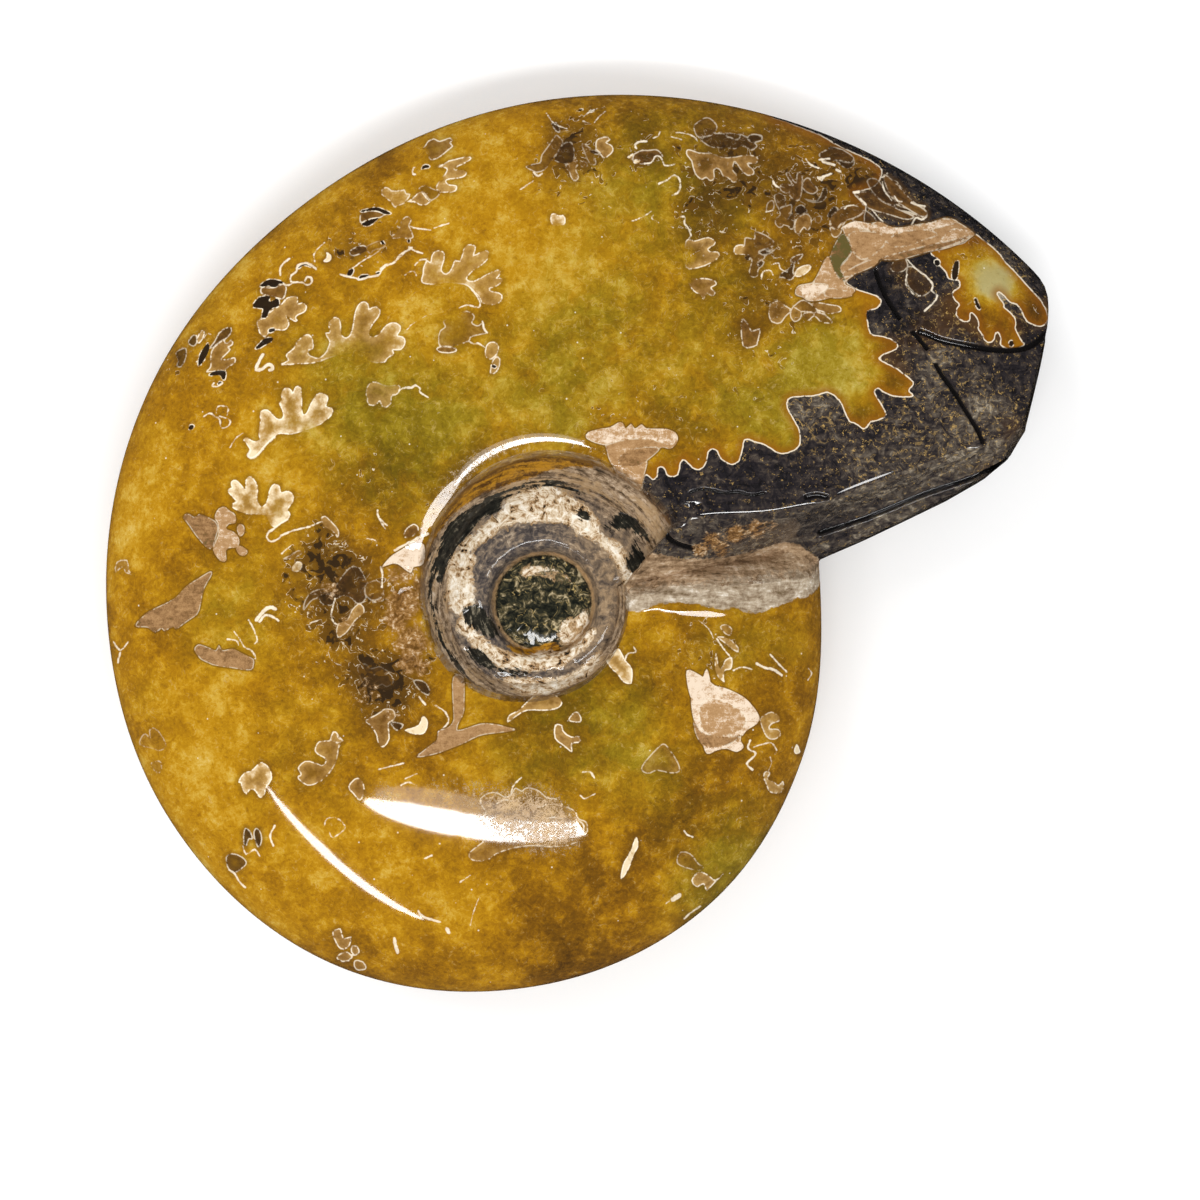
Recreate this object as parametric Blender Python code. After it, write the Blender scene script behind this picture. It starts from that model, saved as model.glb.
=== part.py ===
# Polished fossil ammonite, one solid, lying on its flank.
# Metres, +Z up. Seen from above the coil grows clockwise and its mouth points to the right (+X).
# The origin is under the middle of the outline, on the surface that the fossil rests on.
import math

import bmesh
import bpy

MM = 0.001

# Outline of the last whorl, seen from above: its radius from the coil's centre, every 30 degrees
# clockwise from 30 degrees before +X.
OUTLINE_STEP = 30.0
OUTLINE_START = -30.0
OUTLINE_RADII = [radius * MM for radius in (
    26.8, 25.65, 27.65, 31.15, 34.3, 37.15, 38.2, 38.65, 39.9, 41.7, 45.3, 49.5, 54.6, 60.0)]

# Top edge of the wall around the umbilicus, the dished middle: its radius every 45 degrees.
RIM_STEP = 45.0
RIM_START = -45.0
RIM_RADII = [radius * MM for radius in (8.2, 8.0, 7.95, 8.1, 9.0, 9.7, 11.25, 13.05, 13.7, 13.7)]

# Half thickness of the shell: the upper flank swells as the whorl grows, the lower one is worn level.
MOUTH_HALF_THICKNESS = 11.0 * MM
SWELLING_POWER = 0.6
UNDER_HALF_THICKNESS = 9.3 * MM
UNDER_START_LOSS = 1.1 * MM
FLAT_SPOT_DEPTH = 9.0 * MM       # from the middle plane down to the small flat that it rests on

# Section of a whorl, as shares of the way from the umbilicus' rim to the outer edge.
SHOULDER_SHARE = 0.10
RIM_DROP = 0.22
EDGE_SHARE = 0.97
EDGE_HEIGHT = 0.55

# The dished middle: a disc, a seam, the flank of the whorl before, then the wall.
DISH_SHIFT = (0.7 * MM, 0.2 * MM)
DISC_RADIUS = 4.1 * MM
SEAM_RADIUS = 4.5 * MM
RING_RADIUS = 5.8 * MM
WALL_FOOT_RADIUS = 7.1 * MM
DISC_HEIGHT = 3.9 * MM
SEAM_HEIGHT = 3.1 * MM
RING_HEIGHT = 4.7 * MM
WALL_FOOT_HEIGHT = 4.2 * MM
WALL_WIDTH = 2.7 * MM

# The mouth: a bevelled break that runs from the umbilicus to the tip, and two flats worn on the tip.
MOUTH_ANGLE = 340.7              # where the break's upper ridge stands, past the first 20 mm
RIDGE_BEND = 11.0                # how far that ridge swings back beside the umbilicus
RIDGE_BEND_REACH = 6.0 * MM
BEND_FADE_START = 300.0
NOTCH_ANGLE = -9.3               # where the break meets the outline of the whorl before
VALLEY_ANGLE = -12.5
VALLEY_END_RADIUS = 22.0 * MM
VALLEY_DEPTH = 1.8 * MM
TIP_FLATS = ((14.3, 38.65 * MM), (0.0, 46.2 * MM))   # direction each faces, clockwise from +X; distance
TIP_SOFTNESS = 90.0              # a larger number makes the corners between them sharper
BREAK_EDGE = ((25.6, 4.1), (29.6, 5.8), (33.4, 7.6), (37.1, 9.4), (40.4, 11.3), (42.6, 13.1), (43.9, 15.6))
BREAK_EDGE_DROP = 3.5 * MM       # the break's outermost line lies this far under the middle plane

# The crust of matrix that fills the corner between the break and the whorl before.
CRUST_FROM = (12.2 * MM, 2.3 * MM)
CRUST_TO = (24.2 * MM, 2.4 * MM)
CRUST_REACH = 1.9 * MM
CRUST_LIFT = 1.3 * MM

# The net of the surface.
COLUMNS = 98
BREAK_COLUMNS = 7
DISH_ROWS = 10
FLANK_SHARES = (0.0, 0.03, 0.07, 0.12, 0.2, 0.3, 0.4, 0.5, 0.6, 0.7, 0.79, 0.87, 0.93, 0.97, 0.99, 1.0)
ROWS = DISH_ROWS + len(FLANK_SHARES) - 1

SHELL_COLOUR = (0.42, 0.24, 0.02, 1.0)


def clear_scene():
    for thing in list(bpy.data.objects):
        bpy.data.objects.remove(thing, do_unlink=True)


def smooth_step(low, high, value):
    share = min(1.0, max(0.0, (value - low) / (high - low)))
    return share * share * (3.0 - 2.0 * share)


def mix(first, second, share):
    return first + (second - first) * share


def read_curve(values, start, step, angle):
    """Value of a smooth curve through evenly spaced values."""
    place = (angle - start) / step
    index = min(len(values) - 3, max(1, int(math.floor(place))))
    share = place - index
    before, first, second, after = values[index - 1:index + 3]
    slope_in = (second - before) / 2.0
    slope_out = (after - first) / 2.0
    swing = second - first
    return (first + share * slope_in + share ** 2 * (3.0 * swing - 2.0 * slope_in - slope_out)
            + share ** 3 * (slope_in + slope_out - 2.0 * swing))


def outline_radius(angle):
    return read_curve(OUTLINE_RADII, OUTLINE_START, OUTLINE_STEP, angle)


def rim_radius(angle):
    return read_curve(RIM_RADII, RIM_START, RIM_STEP, angle)


def worn_radius(angle):
    """Outline radius with the flats worn on the tip."""
    radius = outline_radius(angle)
    if angle < BEND_FADE_START:
        return radius
    shares = 1.0
    for direction, distance in TIP_FLATS:
        flat_radius = distance / math.cos(math.radians(angle - 360.0 - direction))
        shares += (radius / flat_radius) ** TIP_SOFTNESS
    return radius * shares ** (-1.0 / TIP_SOFTNESS)


def half_thickness(angle, side):
    if side > 0:
        return MOUTH_HALF_THICKNESS * (outline_radius(angle) / outline_radius(MOUTH_ANGLE)) ** SWELLING_POWER
    return UNDER_HALF_THICKNESS - UNDER_START_LOSS * (1.0 - smooth_step(NOTCH_ANGLE, 110.0, angle))


def section(share):
    """Height of the flank, from the umbilicus' rim at 0 to the outer edge at 1."""
    if share < SHOULDER_SHARE:
        return 1.0 - RIM_DROP * ((SHOULDER_SHARE - share) / SHOULDER_SHARE) ** 2
    reach = (share - SHOULDER_SHARE) / (1.0 - SHOULDER_SHARE)
    return math.sqrt(max(0.0, 1.0 - reach * reach))


def edge_limit(share):
    """Keeps the tip's flat steep, with a softened upper edge."""
    if share <= EDGE_SHARE:
        return 1.0
    reach = (share - EDGE_SHARE) / (1.0 - EDGE_SHARE)
    return EDGE_HEIGHT * math.sqrt(max(0.0, 1.0 - reach * reach))


def crust_lift(x, y):
    along_x, along_y = CRUST_TO[0] - CRUST_FROM[0], CRUST_TO[1] - CRUST_FROM[1]
    share = ((x - CRUST_FROM[0]) * along_x + (y - CRUST_FROM[1]) * along_y) / (along_x ** 2 + along_y ** 2)
    share = min(1.0, max(0.0, share))
    off = math.hypot(x - CRUST_FROM[0] - share * along_x, y - CRUST_FROM[1] - share * along_y)
    return CRUST_LIFT * math.exp(-(off / CRUST_REACH) ** 2)


def dish_point(row, angle):
    """Radius and height in the dished middle, out to the rim."""
    rim = rim_radius(angle)
    wall = mix(0.9 * MM, WALL_WIDTH, smooth_step(90.0, 290.0, angle))
    foot = max(WALL_FOOT_RADIUS, rim - wall)
    radii = (0.0, 1.5 * MM, 3.1 * MM, DISC_RADIUS, SEAM_RADIUS, 5.0 * MM, RING_RADIUS, 6.7 * MM,
             foot, mix(foot, rim, 0.5), rim)
    heights = (DISC_HEIGHT, DISC_HEIGHT, 0.97 * DISC_HEIGHT, 0.92 * DISC_HEIGHT, SEAM_HEIGHT,
               0.93 * RING_HEIGHT, RING_HEIGHT, 0.96 * RING_HEIGHT, WALL_FOOT_HEIGHT)
    return radii[row], (heights[row] if row < len(heights) else None), foot, rim


def whorl_point(row, angle, side, bend):
    """Place of one vertex on a column of the shell, about the coil's centre."""
    rim_height = half_thickness(angle, side) * section(0.0)
    if row <= DISH_ROWS:
        radius, height, foot, rim = dish_point(row, angle)
        if height is None:
            climb = (radius - foot) / (rim - foot)
            height = mix(WALL_FOOT_HEIGHT, rim_height, climb ** 0.8)
        centring = 1.0 - smooth_step(RING_RADIUS, foot + 1.5 * MM, radius)
    else:
        share = FLANK_SHARES[row - DISH_ROWS]
        rim = rim_radius(angle)
        radius = mix(rim, worn_radius(angle), share)
        grown_share = (radius - rim) / (outline_radius(angle) - rim)
        height = half_thickness(angle, side) * min(section(grown_share), edge_limit(share))
        centring = 0.0
    turned = math.radians(angle + bend(radius))
    x = radius * math.cos(turned) + centring * DISH_SHIFT[0]
    y = -radius * math.sin(turned) + centring * DISH_SHIFT[1]
    return x, y, height


def ridge_bend(fade):
    start = rim_radius(MOUTH_ANGLE)

    def bend(radius):
        reach = max(0.0, radius - start) / RIDGE_BEND_REACH
        return -RIDGE_BEND * fade * math.exp(-reach * reach)
    return bend


def valley_bend(radius):
    edge = outline_radius(NOTCH_ANGLE)
    return (VALLEY_ANGLE - NOTCH_ANGLE) * (1.0 - smooth_step(VALLEY_END_RADIUS, edge, radius))


def valley_point(row, side):
    """The foot of the break, where it meets the whorl before."""
    x, y, height = whorl_point(row, NOTCH_ANGLE, side, valley_bend)
    if row > DISH_ROWS:
        share = FLANK_SHARES[row - DISH_ROWS]
        height -= VALLEY_DEPTH * smooth_step(0.0, 0.15, share) * (1.0 - smooth_step(0.7, 0.93, share))
    return x, y, height


def break_edge_point(share):
    """Outermost line of the break, from the notch at 0 to the tip at 1."""
    place = share * (len(BREAK_EDGE) - 1)
    index = min(len(BREAK_EDGE) - 2, int(place))
    part = place - index
    first, second = BREAK_EDGE[index], BREAK_EDGE[index + 1]
    return mix(first[0], second[0], part) * MM, mix(first[1], second[1], part) * MM


def break_point(row, share, side):
    """Place of one vertex on the bevelled break."""
    low = valley_point(row, side)
    high = whorl_point(row, MOUTH_ANGLE, side, ridge_bend(1.0))
    x, y, height = (mix(low[axis], high[axis], share) for axis in range(3))
    if row > DISH_ROWS:
        pull = smooth_step(0.9, 1.0, FLANK_SHARES[row - DISH_ROWS])
        low_edge = valley_point(ROWS, side)
        high_edge = whorl_point(ROWS, MOUTH_ANGLE, side, ridge_bend(1.0))
        edge_x, edge_y = break_edge_point(share)
        x += pull * (edge_x - mix(low_edge[0], high_edge[0], share))
        y += pull * (edge_y - mix(low_edge[1], high_edge[1], share))
        dip = BREAK_EDGE_DROP * (1.0 - (2.0 * share - 1.0) ** 4)
        height -= side * dip * smooth_step(0.98, 1.0, FLANK_SHARES[row - DISH_ROWS])
    return x, y, height


def surface_point(column, row, side):
    if column <= BREAK_COLUMNS:
        x, y, height = break_point(row, column / BREAK_COLUMNS, side)
    else:
        turned = (column - BREAK_COLUMNS) / (COLUMNS - BREAK_COLUMNS)
        angle = mix(MOUTH_ANGLE, NOTCH_ANGLE, turned)
        fade = max(0.0, (angle - BEND_FADE_START) / (MOUTH_ANGLE - BEND_FADE_START)) ** 1.5
        x, y, height = whorl_point(row, angle, side, ridge_bend(fade))
    if row > DISH_ROWS:
        height += crust_lift(x, y) * (1.0 - smooth_step(0.93, 1.0, FLANK_SHARES[row - DISH_ROWS]))
    if side < 0:
        height = min(height, FLAT_SPOT_DEPTH)
    return x, y, FLAT_SPOT_DEPTH + side * height


def build_shell(collection):
    shape = bmesh.new()
    bmesh.ops.create_uvsphere(shape, u_segments=COLUMNS, v_segments=2 * ROWS, radius=1.0)
    for vertex in shape.verts:
        turn = math.atan2(vertex.co.y, vertex.co.x) % math.tau
        column = round(turn / math.tau * COLUMNS) % COLUMNS
        tilt = math.acos(max(-1.0, min(1.0, vertex.co.z)))
        level = round(tilt / math.pi * 2 * ROWS)
        side = 1 if level <= ROWS else -1
        row = level if side > 0 else 2 * ROWS - level
        vertex.co = surface_point(column, row, side)
    low = [min(vertex.co[axis] for vertex in shape.verts) for axis in range(3)]
    high = [max(vertex.co[axis] for vertex in shape.verts) for axis in range(3)]
    middle = (-(low[0] + high[0]) / 2.0, -(low[1] + high[1]) / 2.0, -low[2])
    bmesh.ops.translate(shape, vec=middle, verts=shape.verts)
    bmesh.ops.recalc_face_normals(shape, faces=shape.faces)
    mesh = bpy.data.meshes.new("ammonite")
    shape.to_mesh(mesh)
    shape.free()
    mesh.shade_smooth()
    mesh.set_sharp_from_angle(angle=math.radians(38.0))
    shell = bpy.data.objects.new("ammonite", mesh)
    collection.objects.link(shell)
    return shell


def stone_material():
    material = bpy.data.materials.new("amber calcite")
    material.use_nodes = True
    surface = material.node_tree.nodes["Principled BSDF"]
    surface.inputs["Base Color"].default_value = SHELL_COLOUR
    surface.inputs["Roughness"].default_value = 0.15
    surface.inputs["Metallic"].default_value = 0.0
    return material


def main():
    clear_scene()
    collection = bpy.data.collections.new("fossil ammonite")
    bpy.context.scene.collection.children.link(collection)
    shell = build_shell(collection)
    shell.data.materials.append(stone_material())


main()
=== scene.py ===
# Polished fossil ammonite: its surface, its markings and its finish.
# Millimetres while it is shaped; metres, as in the frame, once the mesh is finished.
import math
import bpy
import numpy as np
from mathutils import Matrix, Vector, noise


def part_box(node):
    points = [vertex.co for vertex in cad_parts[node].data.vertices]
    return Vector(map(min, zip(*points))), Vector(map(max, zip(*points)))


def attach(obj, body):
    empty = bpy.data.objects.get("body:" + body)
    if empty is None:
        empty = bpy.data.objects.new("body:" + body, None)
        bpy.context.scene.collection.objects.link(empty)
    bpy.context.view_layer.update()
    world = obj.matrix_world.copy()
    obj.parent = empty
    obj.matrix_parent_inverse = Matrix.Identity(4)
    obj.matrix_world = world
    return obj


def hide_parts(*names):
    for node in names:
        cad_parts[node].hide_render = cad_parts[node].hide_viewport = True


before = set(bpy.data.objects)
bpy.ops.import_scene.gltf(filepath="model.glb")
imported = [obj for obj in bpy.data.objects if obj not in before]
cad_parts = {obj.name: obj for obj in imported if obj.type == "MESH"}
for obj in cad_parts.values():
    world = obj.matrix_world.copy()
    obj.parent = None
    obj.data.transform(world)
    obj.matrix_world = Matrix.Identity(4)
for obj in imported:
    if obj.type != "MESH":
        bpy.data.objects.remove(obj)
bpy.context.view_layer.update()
print("frame loaded")


def smoothStep(low, high, value):
    share = np.clip((value - low) / (high - low), 0.0, 1.0)
    return share * share * (3.0 - 2.0 * share)


def mix(first, second, share):
    return first + (second - first) * share


def curveThrough(before, first, second, after, share):  # a smooth curve from first to second
    slopeIn, slopeOut, swing = (second - before) / 2.0, (after - first) / 2.0, second - first
    return (first + share * slopeIn + share ** 2 * (3.0 * swing - 2.0 * slopeIn - slopeOut)
            + share ** 3 * (slopeIn + slopeOut - 2.0 * swing))


def readCurve(values, start, step, angle):  # a smooth curve through evenly spaced values
    values = np.asarray(values, float)
    place = (np.asarray(angle, float) - start) / step
    index = np.clip(np.floor(place).astype(int), 1, len(values) - 3)
    share = place - index
    return curveThrough(*(values[index + shift] for shift in (-1, 0, 1, 2)), share)


form = {
    "outlineStep": 30.0, "outlineStart": -30.0,
    "outlineRadii": (26.8, 25.65, 27.65, 31.15, 34.3, 37.15, 38.2, 38.65, 39.9, 41.7, 45.3, 49.5, 54.6, 60.0),
    "rimStep": 45.0, "rimStart": -45.0,
    "rimRadii": (8.2, 8.0, 7.95, 8.1, 9.0, 9.7, 11.25, 13.05, 13.7, 13.7),
    "mouthHalfThickness": 11.0, "swellingPower": 0.6,
    "underHalfThickness": 9.3, "underStartLoss": 1.1, "flatSpotDepth": 9.0,
    "shoulderShare": 0.10, "rimDrop": 0.22,
    "shoulderDrops": (0.0, 0.0, 0.004, 0.016, 0.036, 0.061, 0.089, 0.120, 0.154, 0.196, 0.33, 1.0, 1.9),
    "edgeShare": 0.97, "edgeHeight": 0.55,
    "dishShift": (0.7, 0.2), "ringRadius": 5.8, "wallFootRadius": 7.1, "wallFootHeight": 4.2, "wallWidth": 2.7,
    "dishRadii": (0.0, 1.5, 3.1, 4.1, 4.5, 5.0, 5.8, 6.7),
    "dishHeights": (4.0, 3.95, 3.78, 3.55, 3.1, 4.37, 4.7, 4.5),
    "mouthAngle": 340.7, "ridgeBend": 11.0, "ridgeBendReach": 6.0, "ridgeBendFrom": 11.6, "bendFadeStart": 300.0,
    "notchAngle": -9.3, "valleyAngle": -12.5, "valleyEndRadius": 22.0, "valleyDepth": 1.8, "valleyReach": 3.85,
    "tipFlats": ((14.3, 38.65), (0.0, 46.2)), "tipSoftness": 90.0,
    "breakEdge": ((25.6, 4.1), (29.6, 5.8), (33.4, 7.6), (37.1, 9.4), (40.4, 11.3), (42.6, 13.1), (43.9, 15.6)),
    "breakEdgeDrop": 3.5,
    "crustFrom": (12.2, 2.3), "crustTo": (24.2, 2.4), "crustReach": 1.9, "crustLift": 1.3,
    # how many columns each stretch of the turn gets: from angle, to angle, columns; the break lies between
    "startAngle": 50.0,
    "columns": ((50.0, 8.0, 24), (8.0, -9.3, 18), ("break", "break", 28), (340.7, 330.0, 14),
                (330.0, 300.0, 30), (300.0, 50.0, 186)),
    # rows from the middle of the dish to the outer edge: stages passed, rows used
    "topRows": ((2, 4), (1, 3), (1, 2), (1, 3), (1, 3), (1, 4), (1, 4), (2, 6), (1, 6), (1, 34), (1, 9)),
    "underRows": ((2, 2), (1, 1), (1, 1), (1, 1), (1, 1), (1, 1), (1, 1), (2, 2), (1, 3), (1, 13), (1, 5)),
}
topCount = sum(rows for _, rows in form["topRows"])
underCount = sum(rows for _, rows in form["underRows"])
columnCount = sum(item[2] for item in form["columns"])


def outlineRadius(angle):
    return readCurve(form["outlineRadii"], form["outlineStart"], form["outlineStep"], angle)


def rimRadius(angle):
    return readCurve(form["rimRadii"], form["rimStart"], form["rimStep"], angle)


def wornRadius(angle):
    radius = outlineRadius(angle)
    shares = np.ones_like(radius)
    for direction, distance in form["tipFlats"]:
        reach = np.cos(np.radians(angle - 360.0 - direction))
        flat = distance / np.maximum(reach, 0.2)
        shares = shares + (radius / flat) ** form["tipSoftness"]
    return np.where(angle < form["bendFadeStart"], radius, radius * shares ** (-1.0 / form["tipSoftness"]))


def halfThickness(angle, side):
    mouth = float(outlineRadius(np.array([form["mouthAngle"]]))[0])
    top = form["mouthHalfThickness"] * (outlineRadius(angle) / mouth) ** form["swellingPower"]
    under = form["underHalfThickness"] - form["underStartLoss"] * (1.0 - smoothStep(form["notchAngle"], 110.0, angle))
    return np.where(side > 0, top, under)


def section(share):
    shoulder = form["shoulderShare"]
    towardsRim = np.maximum(shoulder - share, 0.0) / shoulder
    inner = 1.0 - form["rimDrop"] * readCurve(form["shoulderDrops"], -0.1, 0.1, towardsRim)
    reach = np.clip((share - shoulder) / (1.0 - shoulder), 0.0, 1.0)
    return np.where(share < shoulder, inner, np.sqrt(1.0 - reach * reach))


def edgeLimit(share):
    reach = np.clip((share - form["edgeShare"]) / (1.0 - form["edgeShare"]), 0.0, 1.0)
    return mix(1.0, form["edgeHeight"], smoothStep(0.955, 0.985, share)) * np.sqrt(1.0 - reach * reach)


def crustLift(x, y):
    fromX, fromY = form["crustFrom"]
    alongX, alongY = form["crustTo"][0] - fromX, form["crustTo"][1] - fromY
    share = np.clip(((x - fromX) * alongX + (y - fromY) * alongY) / (alongX ** 2 + alongY ** 2), 0.0, 1.0)
    off = np.hypot(x - fromX - share * alongX, y - fromY - share * alongY)
    return form["crustLift"] * np.exp(-(off / form["crustReach"]) ** 2)


def dishKnots(stage, angle):
    rim = rimRadius(angle)
    wall = mix(0.9, form["wallWidth"], smoothStep(90.0, 290.0, angle))
    foot = np.maximum(form["wallFootRadius"], rim - wall)
    count = len(form["dishRadii"])
    radii = [np.full_like(rim, radius) for radius in form["dishRadii"]] + [foot, mix(foot, rim, 0.5), rim]
    heights = [np.full_like(rim, height) for height in form["dishHeights"]]
    heights += [np.full_like(rim, form["wallFootHeight"])]
    radii, heights = np.array(radii), np.array(heights)
    column = np.arange(len(rim))
    index = np.clip(np.floor(stage).astype(int), 0, len(radii) - 2)
    share = stage - index
    radius = mix(radii[index, column], radii[index + 1, column], share)
    # heights run smoothly through the knots up to the wall's foot
    lowIndex = np.clip(index, 0, count - 1)
    knots = (np.maximum(lowIndex - 1, 0), lowIndex, lowIndex + 1, np.minimum(lowIndex + 2, count))
    height = curveThrough(*(heights[knot, column] for knot in knots), share)
    return radius, height, foot, rim


def whorlPoint(stage, angle, side, bend):
    stage = np.asarray(stage, float)
    inDish = stage <= 10.0
    dishRadius, dishHeight, foot, rim = dishKnots(np.minimum(stage, 10.0), angle)
    rimHeight = halfThickness(angle, side) * section(np.zeros_like(angle))
    climb = np.clip((dishRadius - foot) / (rim - foot), 0.0, 1.0)
    wallHeight = mix(form["wallFootHeight"], rimHeight, climb ** 0.8)
    dishHeight = np.where(stage > 8.0, wallHeight, dishHeight)
    share = flankShare(stage)
    flankRadius = mix(rim, wornRadius(angle), share)
    grownShare = (flankRadius - rim) / (outlineRadius(angle) - rim)
    flankHeight = halfThickness(angle, side) * np.minimum(section(grownShare), edgeLimit(share))
    radius = np.where(inDish, dishRadius, flankRadius)
    height = np.where(inDish, dishHeight, flankHeight)
    centring = np.where(inDish, 1.0 - smoothStep(form["ringRadius"], foot + 1.5, radius), 0.0)
    turned = np.radians(angle + bend(radius))
    x = radius * np.cos(turned) + centring * form["dishShift"][0]
    y = -radius * np.sin(turned) + centring * form["dishShift"][1]
    return x, y, height


def flankShare(stage):
    edgeTurn = math.degrees(math.asin((form["edgeShare"] - 0.1) / 0.9))
    turn = np.interp(stage, (11.0, 12.0, 13.0), (0.0, edgeTurn, 90.0))
    outer = 0.1 + 0.9 * np.sin(np.radians(turn))
    return np.where(stage < 11.0, 0.1 * np.clip(stage - 10.0, 0.0, 1.0), outer)


def ridgeBend(fade):
    start = float(rimRadius(np.array([form["mouthAngle"]]))[0])

    def bend(radius):
        reach = np.maximum(0.0, radius - start) / form["ridgeBendReach"]
        inner = smoothStep(form["ridgeBendFrom"], start, radius)  # the dish's wall isn't bent
        return -form["ridgeBend"] * fade * np.exp(-reach * reach) * inner
    return bend


def valleyBend(strength):
    edge = float(outlineRadius(np.array([form["notchAngle"]]))[0])
    turn = form["valleyAngle"] - form["notchAngle"]

    def bend(radius):
        return strength * turn * (1.0 - smoothStep(form["valleyEndRadius"], edge, radius))
    return bend


def valleyDepth(stage, strength):
    share = flankShare(stage)
    dip = form["valleyDepth"] * smoothStep(0.0, 0.15, share) * (1.0 - smoothStep(0.7, 0.93, share))
    return np.where(stage > 10.0, dip * strength, 0.0)


def surfacePoint(stage, angle, along, side):
    one = np.ones_like(stage)
    # the whorl
    fade = np.clip((angle - form["bendFadeStart"]) / (form["mouthAngle"] - form["bendFadeStart"]), 0.0, 1.0) ** 1.5
    strength = np.clip(1.0 - (angle - form["notchAngle"]) / form["valleyReach"], 0.0, 1.0)
    ridgeTurn, valleyTurn = ridgeBend(fade), valleyBend(strength)
    x, y, height = whorlPoint(stage, angle, side, lambda radius: ridgeTurn(radius) + valleyTurn(radius))
    height = height - valleyDepth(stage, strength)
    # the break, a ruled patch between its valley and its ridge
    lowX, lowY, lowZ = whorlPoint(stage, one * form["notchAngle"], side, valleyBend(1.0))
    lowZ = lowZ - valleyDepth(stage, 1.0)
    highX, highY, highZ = whorlPoint(stage, one * form["mouthAngle"], side, ridgeBend(1.0))
    breakX, breakY, breakZ = mix(lowX, highX, along), mix(lowY, highY, along), mix(lowZ, highZ, along)
    share = flankShare(stage)
    pull = np.where(stage > 10.0, smoothStep(0.9, 1.0, share), 0.0)
    endStage = one * 13.0
    lowEdge = whorlPoint(endStage, one * form["notchAngle"], side, valleyBend(1.0))
    highEdge = whorlPoint(endStage, one * form["mouthAngle"], side, ridgeBend(1.0))
    edge = np.array(form["breakEdge"])
    places = np.linspace(0.0, 1.0, len(edge))
    breakX += pull * (np.interp(along, places, edge[:, 0]) - mix(lowEdge[0], highEdge[0], along))
    breakY += pull * (np.interp(along, places, edge[:, 1]) - mix(lowEdge[1], highEdge[1], along))
    dip = form["breakEdgeDrop"] * (1.0 - (2.0 * along - 1.0) ** 4)
    breakZ -= side * dip * np.where(stage > 10.0, smoothStep(0.98, 1.0, share), 0.0)
    onBreak = along > -0.5
    x, y, height = np.where(onBreak, breakX, x), np.where(onBreak, breakY, y), np.where(onBreak, breakZ, height)
    lift = crustLift(x, y) * (1.0 - smoothStep(0.93, 1.0, share))
    height = height + np.where(stage > 10.0, lift, 0.0)
    height = np.where(side < 0, np.minimum(height, form["flatSpotDepth"]), height)
    return x, y, form["flatSpotDepth"] + side * height


def sphereToShell(points):
    turn = np.degrees(np.arctan2(points[:, 1], points[:, 0])) % 360.0
    turn = np.where(turn > 359.99999, 0.0, turn)
    reach = np.hypot(points[:, 0], points[:, 1])
    level = np.degrees(np.arctan2(reach, points[:, 2])) / 180.0 * (topCount + underCount)
    place = turn / 360.0 * columnCount
    angle = np.full_like(place, form["startAngle"])
    along = np.full_like(place, -1.0)
    begin = 0.0
    for start, end, count in form["columns"]:
        inside = (place >= begin - 1e-4) & (place <= begin + count + 1e-4)
        share = np.clip((place - begin) / count, 0.0, 1.0)
        if start == "break":
            along = np.where(inside, share, along)
        else:
            angle = np.where(inside, mix(start, end, share), angle)
        begin += count
    along = np.where(along >= 0.0, along, -1.0)
    side = np.where(level <= topCount + 1e-4, 1.0, -1.0)
    stage = np.zeros_like(level)
    for name, sign in (("topRows", 1.0), ("underRows", -1.0)):
        levels, stages = [0.0], [0.0]
        for passed, rows in form[name]:
            levels.append(levels[-1] + rows)
            stages.append(stages[-1] + passed)
        own = level if sign > 0 else (topCount + underCount) - level
        stage = np.where(side == sign, np.interp(own, levels, stages), stage)
    x, y, z = surfacePoint(stage, angle, along, side)
    return x, y, z, stage, angle, along, side
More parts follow.
